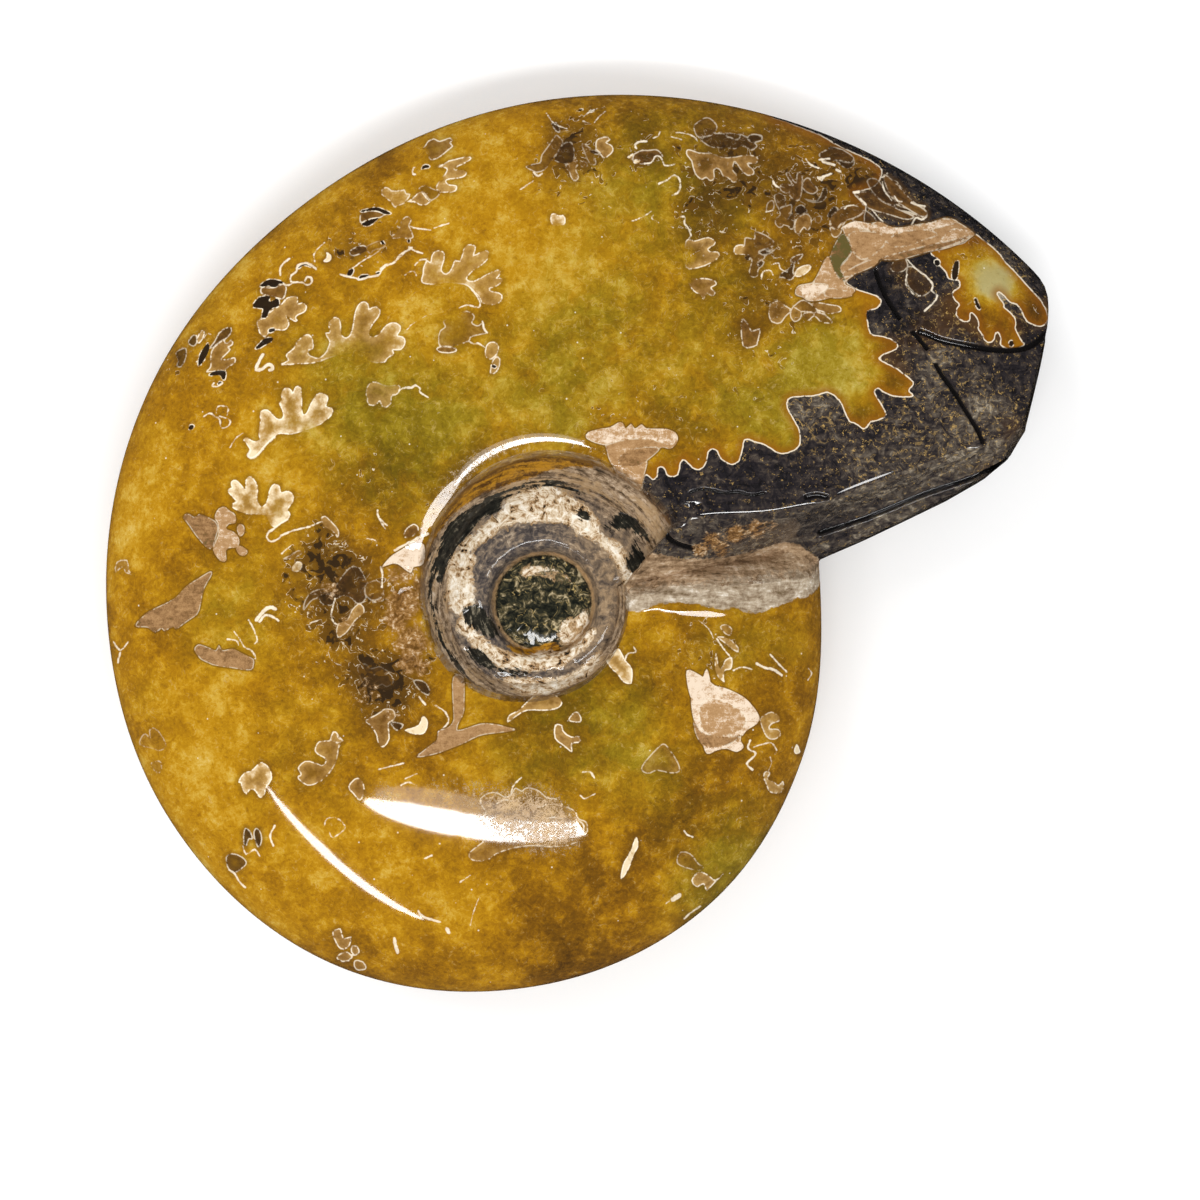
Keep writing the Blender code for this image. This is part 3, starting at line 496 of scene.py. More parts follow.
# A flake: tone and outline.
flakeMarks = (
    (0.35, (-3541, 232, 37, 38, 67, -38, 37, 30, 67, -22, 75, -38, 30, -59, -15, -75, -45, -119, -74, 45, -75, 89,
     -60, 90)),
    (0.75, (-3258, 232, 30, 75, 60, 22, 44, -37, 48, -30, 5, -74, -60, -15, -23, -45, 75, -30, 45, -75, -30, -59,
     -90, -15, 0, -102, -59, 0, -60, 102, 45, 119, 0, 105)),
    (0.7, (-3057, 143, 23, 30, 37, -15, 5, -60, -35, -37, -25, 37)),
    (0.6, (-3064, -51, 30, 30, 71, -45, -26, -45, -45, 8)),
    (0.55, (2397, 2817, 26, 26, 103, 38, 103, 0, 103, 13, 77, -38, 103, -13, 128, 25, 154, 26, 142, 39, 116, -52,
     128, -90, -51, -51, -77, -39, -142, -51, -141, 0, -167, -26, -142, -38, -180, -45, 0, -39, -128, -58, -103,
     -64, -39, -32, -19, 58, -19, 77, 102, 141)),
    (0.7, (2256, 2586, -52, -90, -77, -142, -115, -26, -39, -38, 0, -52, 64, -25, 52, -32, 103, 6, 102, 26, 78, 13,
     115, 25, 13, 39, -77, 38, -13, 20, -64, 58, -52, 115)),
    (0.6, (83, 953, 26, 38, 51, 26, 77, 19, 52, 0, 51, 13, 52, -26, 90, 13, 90, -6, 102, 0, 103, -19, 90, -13, 39,
     -32, -7, -65, -57, -51, -78, 13, -90, -65, -77, -64, -13, -116, 0, -128, -38, -13, -64, 39, -103, 64, -39, 90,
     -51, 90, -26, 103, -39, 64, -90, 13)),
    (0.4, (-3969, -734, 31, 45, 91, 77, 153, 76, 92, 54, 92, 99, 107, 69, 107, 62, 8, -39, -54, -92, -30, -91, -16,
     -92, -30, -77, -92, -61, -92, -69, -30, 23, -77, -38, -30, 23, -54, -38, -69, 46, -92, 4)),
    (0.45, (-3441, -949, 38, 39, 77, -23, 76, -31, 31, 46, 30, -46, 92, 15, 92, -46, 92, -45, 7, -46, -23, -54,
     -107, 8, -91, 15, -123, 15, -76, 31, -62, 31, -38, 53)),
    (0.55, (-1438, -1923, 120, 105, 60, 45, 14, 82, 76, 31, 59, 67, -7, 180, 4, 210, 94, 0, 7, -210, -7, -120, -60,
     -150, 210, 60, 149, -7, 90, -23, 83, -22, -98, -23, -224, -30, -121, -60, -149, -60, -120, -45)),
    (0.95, (991, -1143, 61, -45, 67, -48, 52, 108, 38, -123, 52, -35, 90, -22, 151, -75, 90, -90, 52, -90, -23, -60,
     -90, -60, -45, -60, -14, -30, 30, -60, -61, -45, -90, 30, -90, -15, -90, -30, -45, 120, -60, 150, -30, 120,
     -14, 165, -31, 120)),
    (1, (-1753, -213, 75, 90, 90, 60, 120, 63, 97, -18, -7, -165, -90, -30, -30, -53, -120, 83, -90, -15)),
    (0.86, (91, 941, 8, 56, 51, 17, 62, 17, 56, 6, 56, 17, 51, 33, 39, -5, 28, -48, 45, 42, 39, -45, 57, 40, 50,
     -37, 169, -3, 90, -39, 17, -71, -73, -30, -174, 45, -169, 5, -141, -28, -112, -28)),
    (0.42, (380, 767, 113, 79, 169, 22, 84, -22, -84, -79, -85, -56, -112, -23, -71, 23)),
    (0.66, (394, 688, 155, 11, 84, 40, -22, -113, -45, -107, -101, 62)),
    # this light strip along the big flake's upper edge paints the highlight there
    (0.86, (2372, 2829, 134, 72, 195, -42, 180, -18, 211, 24, 239, 54, 97, -24, -156, -48, -240, -48, -210, -12,
     -150, 24, -180, 36)),
    # this dark strip paints the shade in the big flake's lower fold
    (0.34, (2732, 2559, 180, 60, 239, 60, 241, 60, 180, 48, -180, -96, -241, -72, -239, -66)),
    (0.5, (2791, 2709, 121, 90, 239, 24, 90, -48, -149, -54, -180, -54)),
    (0.78, (3272, 2715, 120, 114, 150, -18, -18, -42, -132, -36)),
    (0.6, (2462, 2799, 239, 0, 79, -84, -108, -120, -115, -36, -83, 102)),
    (0.52, (2348, 2397, 114, 72, 149, 72, 108, 18, -47, -66, -210, -84)),
    (0.97, (2026, 2307, 90, 30, 142, -12, -36, -60, -106, -60, -74, 30)),
    (0.66, (2258, 2295, 173, -24, 49, -42, -139, -24, -105, 24)),
    (0, (2282, 2586, 115, 205, 77, -167, -102, -141, 51, -116, -77, 39)),
    (1, (991, -1143, 121, -45, 180, -135, 0, -75, -121, 0, -119, -15, -45, 90)),
    (0.72, (1126, -1443, 166, 30, 210, -120, 0, -120, -151, -75, -180, 15, -59, 120)),
    (0.42, (1052, -1593, 90, -120, 209, -30, 135, 15, -135, -90, -180, -15, -90, 90)),
)
# A line: half its width in millimetres, then its points.
lineMarks = (
    (0.16, (-2826, 1700, -39, -74, -19, -64, 54, 7, 50, 40, 38, -11, 3, -29, -25, -11)),
    (0.1, (-2344, 2467, -55, 47, -65, 6, -49, -27, -11, -50, -44, -32, -3, -55, 52, -5, 55, -6, 43, -19, 39, 25,
     -11, 43, -38, 0, -11, -32)),
    (0.09, (-2666, 2413, -2, 63, 29, 44, 55, 43)),
    (0.08, (-2639, 2340, 44, -17, 44, 22)),
    (0.1, (-2132, 2422, 60, -18, 88, -17, 27, -16, 82, 27, 87, 13, 27, 43, 49, 44, 77, 33, 43, 65, 77, 44, 32, 22)),
    (0.07, (-2017, 2476, 98, 71, 98, 55, 55, 43)),
    (0.11, (-1597, 1375, 49, 27, 65, 0, 33, 22, 42, -33)),
    (0.06, (-2268, 2705, -54, -43, -44, -66, 11, -65)),
    (0.09, (-1462, 3385, -16, -33, 7, -27, 23, -3)),
    (0.08, (-1508, 2668, 55, -37, 74, -22)),
    (0.08, (-1498, 2852, 64, -18, 119, -14)),
    (0.07, (-1278, 2838, 64, 23, 64, 20)),
    (0.08, (-958, 2300, 48, -59, 39, -68, -14, -49, -103, 20, -68, -25)),
    (0.07, (-1768, 2466, 58, 48, 68, 10, 39, 39, 59, 59)),
    (0.07, (-1549, 2412, 34, 29, 49, 7, 24, -41)),
    (0.07, (-1456, 2505, 49, 44, 53, 9)),
    (0.09, (-846, 1997, 14, -68, 30, -34)),
    (0.08, (-968, 1817, 49, -25, 29, 10, 63, -37)),
    (0.05, (-1544, 1900, 68, 78, 98, 58, 68, 29)),
    (0.08, (-1485, 1412, 39, 11, 29, -21, 5, -39, 34, -25, 39, -24)),
    (0.12, (-2721, 953, -74, -64, -75, -90, -52, -30, -35, 18, 20, 50)),
    (0.1, (-2601, 217, -60, -37, -45, -37, -60, -38, -22, -52, 40, -37, 57, 22, 45, 38, 89, 37, 158, 37)),
    (0.1, (-3195, 1441, -41, -30, -44, 8, 15, 22)),
    (0.07, (-3355, 1851, 30, 38, 30, -8)),
    (0.07, (-3355, 1143, 52, 29, 45, -29, 45, -30, 15, -75, 67, 22, 7, 53, -89, 30)),
    (0.07, (-3243, 1172, 15, 60, 74, 0, 18, -30, -10, -52)),
    (0.05, (-3124, 859, 60, 90, 60, 44)),
    (0.07, (-271, 3871, 71, -96, 116, -45)),
    (0.06, (57, 3839, 52, 39, 51, 25)),
    (0.06, (160, 3788, 39, 51, 64, 52)),
    (0.08, (57, 3801, 52, -13)),
    (0.1, (-386, 3340, 38, -34, 39, 25)),
    (0.09, (610, 3417, 64, 11, 32, 51, 39, 7, 32, -52, 13, -32, 52, 0, 44, 13)),
    (0.1, (539, 3550, -13, 32, 33, 32, 70, 4)),
    (0.09, (739, 3235, 77, 38, 58, 39, 51, -32, 7, -71, -20, -51, -51, -26)),
    (0.07, (854, 3659, 52, -13, 38, -13)),
    (0.07, (893, 3698, 77, -7, 90, -32, 32, -51)),
    (0.07, (687, 3646, 45, 20, 17, 38)),
    (0.05, (-123, 3003, 39, 13)),
    (0.06, (-508, 3183, 77, 52, 38, 26)),
    (0.06, (494, 2901, 103, 38, 77, 52)),
    (0.06, (739, 2888, -65, 38, 26, 39)),
    (0.1, (1767, 3267, 13, -39, 39, -25)),
    (0.08, (1703, 2984, 64, 13)),
    (0.08, (1664, 2380, 13, 64, 65, 13, 23, -39)),
    (0.07, (1754, 2508, 65, 13, 13, -51, 64, -26)),
    (0.08, (932, 2939, 44, -6, -6, -52, 39, -51, 19, -64, -32, -33)),
    (0.08, (2063, 3460, 39, -52, 77, -32)),
    (0.1, (2185, 3453, 90, 9)),
    (0.12, (2217, 3432, 103, -26)),
    (0.14, (2176, 3286, 41, 13)),
    (0.1, (2240, 3312, 54, 17)),
    (0.12, (2339, 3363, 33, -19)),
    (0.1, (3014, 3068, 52, -26, 70, -6)),
    (0.09, (2860, 3126, 26, -39, 38, -13)),
    (0.09, (3014, 2862, 39, 71, 51, -20, 45, 26)),
    (0.08, (2751, 3254, 13, -64, 32, -52, 38, -51)),
    (0.07, (2744, 3293, 39, 19, 13, 19)),
    (0.1, (2172, 3293, 32, -26, 26, 39, 39, 6)),
    (0.14, (2494, 3158, 45, 6)),
    (0.12, (2552, 3100, 51, -52)),
    (0.08, (2654, 3010, 52, -64, 51, -52)),
    (0.08, (2410, 3010, 26, 26, 58, 6)),
    (0.08, (2757, 3473, 52, -13, 38, -64)),
    (0.09, (2956, 2573, 110, -116, 77, -51, 64, -78, -13, -51, 52, -51, -52, -78, -64, -57)),
    (0.07, (2976, 2431, -13, -103, 77, -90, 52, -12)),
    (0.18, (-2883, -689, 62, 77, 61, 37, 46, -14)),
    (0.12, (-2852, -704, 46, 54, 61, -8, 61, -38)),
    (0.08, (-2951, -689, 38, -76, 38, -99, -23, -39)),
    (0.08, (-3082, -796, 46, -61, 46, -76, 61, -31, 42, -69, -34, -7)),
    (0.09, (-3143, -864, 77, -8, 23, -43)),
    (0.1, (-3127, -2938, 45, -30, 46, -77, 54, -53)),
    (0.09, (-2714, -2540, -46, -92, 30, -92)),
    (0.07, (-3005, -2724, 31, -76, 76, 46, 46, -61)),
    (0.07, (-2271, -2540, 23, 61, 85, 8, 76, -69, -15, -46, -92, -61, -31, 46)),
    (0.08, (-4168, -887, 61, -77, 69, 77)),
    (0.1, (-4107, -979, -23, -92)),
    (0.12, (-1424, -3311, 45, -52, 151, -45)),
    (0.18, (-1168, -3471, 18, -30)),
    (0.1, (-1371, -2838, 68, 30)),
    (0.16, (-1641, -3558, 10, -60, 20, -60)),
    (0.08, (-1784, -2035, 90, 22, 135, 33)),
    (0.08, (-1581, -2178, 67, 30, 76, -30)),
    (0.07, (-1438, -2073, -106, -45)),
    (0.09, (54, -2058, 68, 0, 37, -52)),
    (0.07, (32, -2268, 44, -30, 90, 45)),
    (0.07, (-1026, -2583, 82, -30, 76, 0, 67, -37)),
    (0.07, (-591, -2253, 23, 75, 74, 75)),
    (0.07, (-1048, -3048, 90, 60)),
    (0.05, (-958, -3438, 30, 120, 45, 120)),
    (0.07, (436, -1053, 23, 60, 75, 15, -22, 45)),
    (0.08, (1261, -858, 61, -90, 74, -90)),
    (0.13, (1621, -1083, 75, -37, 76, -15, 74, -53)),
    (0.09, (1742, -1000, 75, -83, 74, -75)),
    (0.08, (1412, -1143, 74, 30, 90, -22)),
    (0.1, (1562, -1773, -18, -75, 70, -45, -83, -90, 53, -52)),
    (0.07, (1592, -1833, 74, 23, 90, 14, 45, -67)),
    (0.06, (1742, -1923, 14, -60, -29, -60)),
    (0.22, (864, -3206, 60, 38)),
    (0.07, (804, -3243, 30, 23)),
    (0.1, (969, -3378, 67, 60, 76, 53)),
    (0.06, (2087, -1128, 29, -45, -37, -60)),
    (0.05, (1097, -693, 90, -75, 45, -90)),
    (0.09, (969, -2583, 22, -37, 53, -23)),
    (0.07, (-2668, 72, 120, 45, 150, 37, 97, 41)),
    (0.08, (-2654, -93, 46, 45, 30, 22)),
    (0.08, (-2174, -498, -26, -90, -6, -68, 25, -60, 30, -14)),
    (0.14, (-1634, -63, 106, 57, 105, 56, 82, 37)),
    (0.1, (-1761, -213, 11, -75, -3, -105)),
    (0.06, (-1791, 237, 67, -105)),
    (0.1, (-1791, 297, 7, -60, 76, -75)),
    (0.08, (-1888, 42, 74, -15, 16, -45)),
    (0.08, (-1274, -1458, 90, -60, 31, -90, -90, -90)),
    (0.1, (-1416, -1383, 22, -30, 30, -37)),
    (0.07, (-2398, -768, -8, 45, 82, 30)),
    (0.05, (-2218, -933, -16, -60, 46, -75, 74, -30)),
    (0.07, (-719, -2343, 61, 36, 74, -12)),
    (0.06, (-418, -2343, 90, -30, 59, 30)),
    (0.08, (17, -2493, 45, -45, -7, -75)),
    (0.05, (-298, -2493, 74, 30, 106, -18)),
)
darkOutline = (382, 585, 72, -54, 64, -45, 66, -3, 14, 84, 25, 51, 39, -25, 26, -20, 37, 33, 0, 64, 33, 19, 32, -19,
    25, -52, 53, -19, 51, 32, 13, 90, 32, 32, 45, -38, 51, -45, 64, 0, 45, 64, 8, 77, 41, 39, 49, -22, 25, -58, 54,
    -41, 58, -18, 58, 31, 28, 95, 18, 90, 36, 13, 44, -22, 72, -18, 82, -40, 67, -46, 90, 0, 90, 46, 23, 67, -10,
    99, -54, 99, -54, 99, 10, 72, 54, 22, 98, 5, 100, 9, 72, 27, 62, -9, 64, -54, 30, -35, 39, -103, 39, -64, 51,
    -13, 57, -45, 44, 8, 28, 50, 62, 13, 79, 39, -13, 51, -51, 90, -39, 77, 33, 32, 45, -32, 90, -38, 90, -7, 90, 7,
    -39, 51, 45, 58, -32, 45, -52, 38, -65, 52, -76, 38, -51, 26, -39, 32, 39, 32, 64, 26, 63, 32, -6, 45, -57, 39,
    -90, 26, -78, 12, -25, 52, -14, 77, -6, 64, 20, 26, 64, 13, 47, 50, -21, 54, -90, 37, -90, 26, -51, 26, -62, 55,
    54, 117, 144, 90, 36, 162, -72, 162, 18, 162, -54, 36, -52, 63, 70, 27, 108, 36, 54, 72, 8, 90, -116, 81, -154,
    68, -152, 76, -126, 76, -180, 68, -136, 54, -152, 63, 18, 171, 1170, -225, 990, -630, 674, -900, 0, -900, -314,
    -720, -1350, -810, -630, -225, -136, 297, -314, 99, -360, -36, -360, -63, -316, -90, -224, 153, -144, 297, -126,
    288)
islandOutline = (3194, 2631, 78, 12, 102, 33, 103, 25, 52, 39, 51, 45, 77, -52, 103, -83, 90, -97, 19, -38, 45, -39,
    78, -83, 64, -77, 51, -52, 52, -51, 45, -65, 32, -77, 6, -51, -19, -45, -51, -22, -52, 9, -77, 45, -32, 71, -45,
    70, -64, 20, -52, 58, -51, 38, -13, -26, 32, -51, 32, -39, -6, -25, 58, -45, 51, -71, -7, -64, 26, -65, 32, -57,
    26, -33, -64, -28, -64, -6, -52, 9, -36, 32, 4, 45, -19, 55, -29, -1, -16, -67, -45, -19, -52, 38, 0, 32, -45,
    52, 7, 51, -33, 71, -42, 22, -9, -67, -45, -13, -62, 39, -15, 64, 32, 51, -49, 52, -9, 64, 58, 39, -4, 64, -60,
    8, -36, 11, -22, 58, -51, 52, -13, 57, -62, 45)
crustOutline = (356, -513, 72, 162, 144, 180, 108, 81, 134, -27, 298, -27, 206, 18, 154, 36, 116, 18, 154, 54, 152,
    27, 118, -27, 108, -72, 72, -81, 8, -162, -72, -108, -116, -54, -180, -54, -136, -72, -180, 0, -90, 54, -134,
    -36, -180, 54, -180, 18, -226, -18, -134, -72, -108, 18)
# Worn rough spots: x, y, reach, strength.
wornSpots = ((-1544, -513, 180, 1), (-1480, -873, 180, 1), (-1840, -1323, 162, 0.45), (-1588, -261, 144, 0.8),
    (-2218, -405, 162, 0.5), (-2084, -711, 126, 0.5), (-1660, -1548, 90, 0.5), (-1364, -153, 126, 0.9), (-1426,
    -1098, 126, 0.8), (-1948, -1413, 108, 0.4), (-1516, -1071, 126, 0.9), (-1606, -675, 144, 0.9), (-1408, -378,
    108, 0.9), (1220, 27, 99, 0.85), (1426, 81, 99, 1), (1616, 126, 99, 0.9), (1112, -63, 81, 0.8), (1760, 162, 72,
    0.6), (1310, -54, 90, 0.8))
# Clouds in the stone, by what they do there: x, y, reach, strength of each. Some of them paint light or shade, as
# said at each kind.
clouds = {
    # the broad weak clouds at the head of this list are painted shade over the right and the middle; the small strong
    # ones are dark clusters in the stone
    "darkSpotsAndShade": ((752, 1287, 1080, 0.22), (212, 3537, 810, 0.22), (1742, 1917, 810, 0.22), (1742, -2313, 720, 0.26),
     (1112, -873, 540, 0.2), (-148, 1107, 540, 0.2), (212, -3213, 630, 0.18), (-58, 3582, 234, 0.5), (662, 3537,
     198, 0.5), (1336, 3447, 270, 0.6), (2012, 3132, 234, 0.6), (2642, 3177, 234, 0.7), (1696, 2637, 162, 0.5),
     (-2084, 2637, 198, 0.5), (-2758, 2322, 144, 0.4), (-2128, -603, 432, 0.8), (-1706, -1287, 270, 1.7), (-1904,
     -1161, 162, 0.6), (-1364, -1008, 144, 0.6), (-2264, -18, 198, 0.3), (-2038, -288, 180, 0.3), (-1588, -513, 270,
     0.5), (-1408, -153, 180, 0.4), (-2084, -873, 180, 0.4), (-1904, 657, 378, 0.35), (-1364, 1017, 306, 0.25),
     (-1228, 387, 270, 0.35), (-2218, -153, 360, 0.5), (1112, 2862, 315, 0.45), (1426, 3177, 360, 0.35), (3406,
     3042, 270, 0.6), (3586, 2772, 198, 0.7), (2372, 3402, 450, 0.6), (2956, 3177, 360, 0.6), (-1724, 2772, 360,
     0.3), (-58, 3402, 405, 0.4), (1472, 3627, 450, 0.4), (2012, 3087, 360, 0.3), (-2398, 2637, 360, 0.2), (-2488,
     -153, 360, 0.3), (1742, 2187, 270, 0.3), (1112, -1053, 360, 0.3), (2192, 2727, 360, 0.4), (-3524, 1602, 225,
     0.4), (4082, 2142, 144, 0.4)),
    "warm": ((3136, 1917, 234, 0.8), (3406, 2187, 162, 0.6), (2912, 2367, 126, 0.6), (3902, 1017, 198, 0.6), (3676,
     657, 144, 0.6), (-3568, -873, 630, 0.2), (-3074, -1953, 630, 0.2), (-1318, -3483, 810, 0.1), (-14, -3258, 675,
     0.65), (-2038, -3663, 630, 0.4), (-3838, -513, 450, 0.4), (-3434, 27, 405, 0.4), (212, -3753, 540, 0.5), (1156,
     3042, 360, 0.6), (1516, 1899, 144, 0.6), (-1724, 3447, 270, 0.4), (-868, 2007, 225, 0.4), (572, 1782, 252,
     0.35), (1922, -1233, 360, 0.5), (1112, -1683, 360, 0.3), (2012, -153, 270, 0.4), (932, -2493, 540, 0.3), (2192,
     2187, 162, 0.5), (3586, 2025, 216, 1), (3856, 1917, 180, 1), (4172, 2079, 144, 1.2), (2866, 1485, 180, 0.9),
     (2570, 1152, 144, 0.9), (2776, 1764, 126, 0.8), (-2938, -2763, 360, 0.4), (212, -1323, 720, 0.22), (1472, 3267,
     720, 0.3), (-1318, 1017, 540, 0.25), (-2218, 2637, 450, 0.2), (1292, -2313, 540, 0.2), (2012, -513, 360, 0.2),
     (212, 3537, 630, 0.2), (-1724, -1323, 306, 0.5), (-2084, -243, 450, 0.35), (-1634, 387, 360, 0.4)),
    "pale": ((3244, 1638, 216, 0.9), (3668, 1188, 270, 1.1), (2956, 882, 270, 0.7), (3452, 927, 216, 0.8), (2624,
     1467, 126, 0.8), (3182, 1332, 162, 0.6), (2552, 657, 306, 0.4), (2282, 1602, 405, 0.75), (2012, 1107, 270,
     0.6), (122, 2457, 810, 0.35), (3668, 2394, 216, 2.1), (3848, 2313, 180, 1.5), (-1138, 2187, 360, 0.3), (392,
     2007, 630, 0.3), (-2668, 927, 360, 0.2), (572, -1953, 405, 0.4), (1652, -2763, 315, 0.35), (-3704, 837, 270,
     0.3), (-3838, -1413, 225, 0.5), (-2218, -1413, 360, 0.3), (1742, 1287, 450, 0.4), (1562, 2637, 540, 0.1),
     (1922, -873, 225, 0.5), (572, 1017, 540, 0.2), (-2938, 2817, 630, 0.25), (-2218, 3267, 540, 0.25), (-1138,
     3447, 540, 0.3), (-3388, 1917, 450, 0.3), (-1408, 1737, 540, 0.3), (-2488, 567, 540, 0.3), (-1138, 1017, 270,
     0.5), (-1498, 387, 234, 0.5), (-598, 1107, 270, 0.5), (-148, 1017, 234, 0.4)),
    # painted light: these clouds lighten the amber, most along the left and lower-left edge
    "paintedGlow": ((-3928, 207, 540, 0.5), (-3838, -1233, 540, 0.35), (-3344, -2043, 540, 0.7), (-2938, -2763, 540, 0.7),
     (-2218, -3213, 450, 0.5), (-688, 3177, 630, 0.55), (-148, 2547, 540, 0.35), (-3118, 1107, 540, 0.1), (-3478,
     -513, 450, 0.4), (392, -3213, 405, 0.3), (1652, -513, 360, 0.3), (-1768, -3213, 450, 0.3), (-958, -3258, 540,
     0.35)),
    "olive": ((2012, 1107, 540, 0.8), (1112, 1287, 540, 0.5), (212, 1917, 540, 0.45), (-508, 1737, 540, 0.35),
     (2282, 1692, 405, 0.7), (-1228, 1107, 450, 0.5), (-148, 1197, 450, 0.5), (-2218, 1647, 540, 0.3), (-1588, 837,
     630, 0.6), (-2038, 1377, 540, 0.35), (122, -1323, 720, 0.5), (1022, 3357, 810, 0.5), (-868, -693, 540, 0.3),
     (-2938, -513, 630, 0.25), (-2488, -1953, 540, 0.2), (572, -2043, 540, 0.4), (1472, -2763, 450, 0.6), (1112,
     -3213, 360, 0.6), (1472, -873, 450, 0.4), (392, 3267, 540, 0.3), (1382, 2187, 540, 0.3), (-508, -1953, 540,
     0.3), (-3208, -693, 360, 0.3), (3244, 1638, 270, 0.8), (2956, 882, 270, 0.6)),
    # the positive satin clouds follow the shoulder's arc highlight and the rubbed leaf under the bar highlight; their
    # pale scuffs are partly a painted sheen
    "satin": ((248, -2529, 135, -1.6), (410, -2448, 270, -1.2), (662, -2268, 288, -1.2), (932, -2061, 306, -1.2),
     (1202, -1818, 306, -1.2), (212, -2223, 216, -0.6), (572, -1953, 270, -0.8), (1382, -1548, 216, -0.8), (-1256,
     279, 81, 0.45), (-1174, 459, 90, 0.5), (-1066, 603, 90, 0.55), (-940, 720, 90, 0.6), (-796, 801, 81, 0.55),
     (-652, 846, 72, 0.4), (-508, 846, 72, 0.35), (-1724, -2268, 126, 0.5), (-688, -2403, 180, 0.9), (-418, -2475,
     234, 1), (-202, -2529, 216, 1), (-40, -2601, 126, 0.6), (104, -2475, 108, -1.8), (122, -2340, 72, -1.2),
     (-1228, -2241, 162, 0.35), (-958, -2259, 162, 0.4)),
}
# Cracks and slots: depth and half width in millimetres, then their points. The last slot, where the dish's wall meets
# the dark face, is painted black as the shadow in that gap.
cracksAndShadowGap = (
    (0.34, 0.27, (2693, 2457, 64, -180, 103, -180, 90, -116, 122, -122, 122, -161, 78, -154, 128, -180, 103, -167,
     103, -167, 51, -116)),
    (0.32, 0.32, (3092, 1904, 77, -26, 103, -45, 154, -38, 231, -39, 193, -19, 180, 19, 116, 58, 64, 64)),
    (0.2, 0.16, (1022, 459, 90, 27, 108, -9, 108, -27, 126, 9, 108, -27, 126, 18)),
    (0.2, 0.3, (2066, 414, 90, 18, 90, -18)),
    (0.35, 0.3, (788, 117, 54, -90, 108, -54, 108, -27)),
    (0.45, 0.3, (2192, 90, 414, 135, 548, 225, 414, 135, 334, 162)),
    (0.3, 0.3, (382, 576, 118, -99, 116, -126, 90, -117, 54, -99)),
)
# Patches in the dish: what they are, then the outline.
dishPatches = (
    ("chalk", (-1138, -135, 72, 72, 90, -18, 72, -54, -36, -108, 18, -144, 18, -126, -72, -54, -90, -90, -54, 54,
     -46, 144, 0, 180)),
    ("chalk", (-1048, -45, 90, 108, 126, 108, 126, 72, 54, 126, 162, 108, 216, 54, 144, -54, 126, -90, 126, -90, 72,
     -90, 36, -126, 72, -72, 72, 0, 72, -108, 18, -144, -54, -36, -72, 144, -108, 108, -108, 72, -126, 36, -54, 90,
     -180, 36, -180, -18, -144, -18, -126, -54, -108, -72, -108, -90, -72, -36)),
    ("chalk", (-1048, -657, 90, -54, 72, -90, 108, -90, 126, -72, 162, -54, 108, 18, 108, 36, 108, -18, 108, 54,
     108, 72, 72, 90, 54, -18, -54, -108, -108, -108, -108, -90, -144, -36, -144, -18, -144, 0, -144, 18, -108, 72,
     -126, 90, -72, 90, -90, 90)),
    ("chalk", (410, -243, 90, 18, 126, -72, 144, -90, -54, -54, -162, -36, -108, -9, -18, 99)),
    ("chalk", (-130, -711, 126, 36, 90, 72, 26, -108, -80, -126, -108, -90, -72, 36, -18, 90)),
    ("chalk", (-490, -243, 108, 36, 144, -18, 108, -54, 54, -72, -90, 18, -108, 36, -108, 18, -90, -18)),
    ("chalk", (-652, -1224, 162, 9, 144, -9, 216, 27, 180, 81, 108, 99, 72, 54, -18, -90, -162, -162, -216, -108,
     -216, -36, -180, 54)),
    ("stain", (-1264, -171, 36, 180, 108, 180, 162, 126, 180, 108, 144, 54, 144, 54, 144, 27, 144, 9, 144, -54, 126,
     -72, 72, -54, -90, 9, -144, 81, -144, 36, -144, -9, -144, -45, -126, -72, -54, -90, -144, -90, -126, -144,
     -108, -126, -54, -72, -54, -108, -36, -108, -46, 36)),
    ("stain", (-1012, -954, 90, 9, 90, -36, 90, -90, 26, -63, -116, 18, -108, 63)),
    ("stain", (464, -27, 90, -18, 108, -108, 62, -108, -62, 18, -90, 72, -90, 36)),
    ("stain", (374, 279, 108, -36, 90, -90, 72, -108, -10, -36, -98, 72, -108, 108)),
    ("stain", (436, -171, 64, 18, 54, -54, -54, -72, -54, 36)),
    ("stain", (-1022, -585, 64, 36, 108, -18, 108, -144, 36, -108, -72, -36, -108, 72, -108, 72)),
    ("stain", (-22, 297, 90, 0, 54, -72, -72, -36)),
    ("stain", (230, 207, 126, -18, 36, -72, -126, 18)),
    ("stain", (-1318, -135, 32, 0, -4, -288, 44, -270, 90, -234, 152, -216, -44, -9, -154, 216, -95, 243, -31, 270)),
    ("stain", (-724, -1125, 162, -18, 144, -27, -72, -18, -162, 18)),
    ("rust", (-1328, -153, 11, 115, 137, 218, 218, 191, 274, 137, 270, 81, 248, 82, 220, 13, 108, -13, -36, 94,
     -360, 90, -450, -54, -396, -198, -288, -306, -90, -288, 44, -162)),
    ("rust", (-634, -909, 144, -36, 144, 18, 144, 36, 72, -72, -108, -36, -180, -18, -144, 18)),
)


surface = {
    "camera": (2.1, -5.1, 459.0), "markHeight": 9.0,  # the markings are drawn on a level plane, as the camera sees it
    "underTurn": 25.0, "coilCentre": (-3.646, -5.561),  # on the underside they are turned about the coil
    "near": 1.2, "farDistance": 9.0, "pathParts": 3, "distancesAtOnce": 4000,
    "darkFromStage": 9.5, "breakFromStage": 10.3, "breakFrom": 0.02, "grooveWall": (0.1, 1.15),
    # how near an edge a face is cut up at each round, and how far off its middle may be, in millimetres
    "reach": (0.45, 0.25, 0.12), "wornFrom": 0.3,
    "slip": (("leaf", 0.035), ("black", 0.035), ("dark", 0.05), ("flake", 0.03), ("line", 0.02), ("crust", 0.07)),
    "cutFromStage": 10.02, "fineToStage": 12.3, "breakTo": 0.995,
    "sharpAngle": 38.0,
}


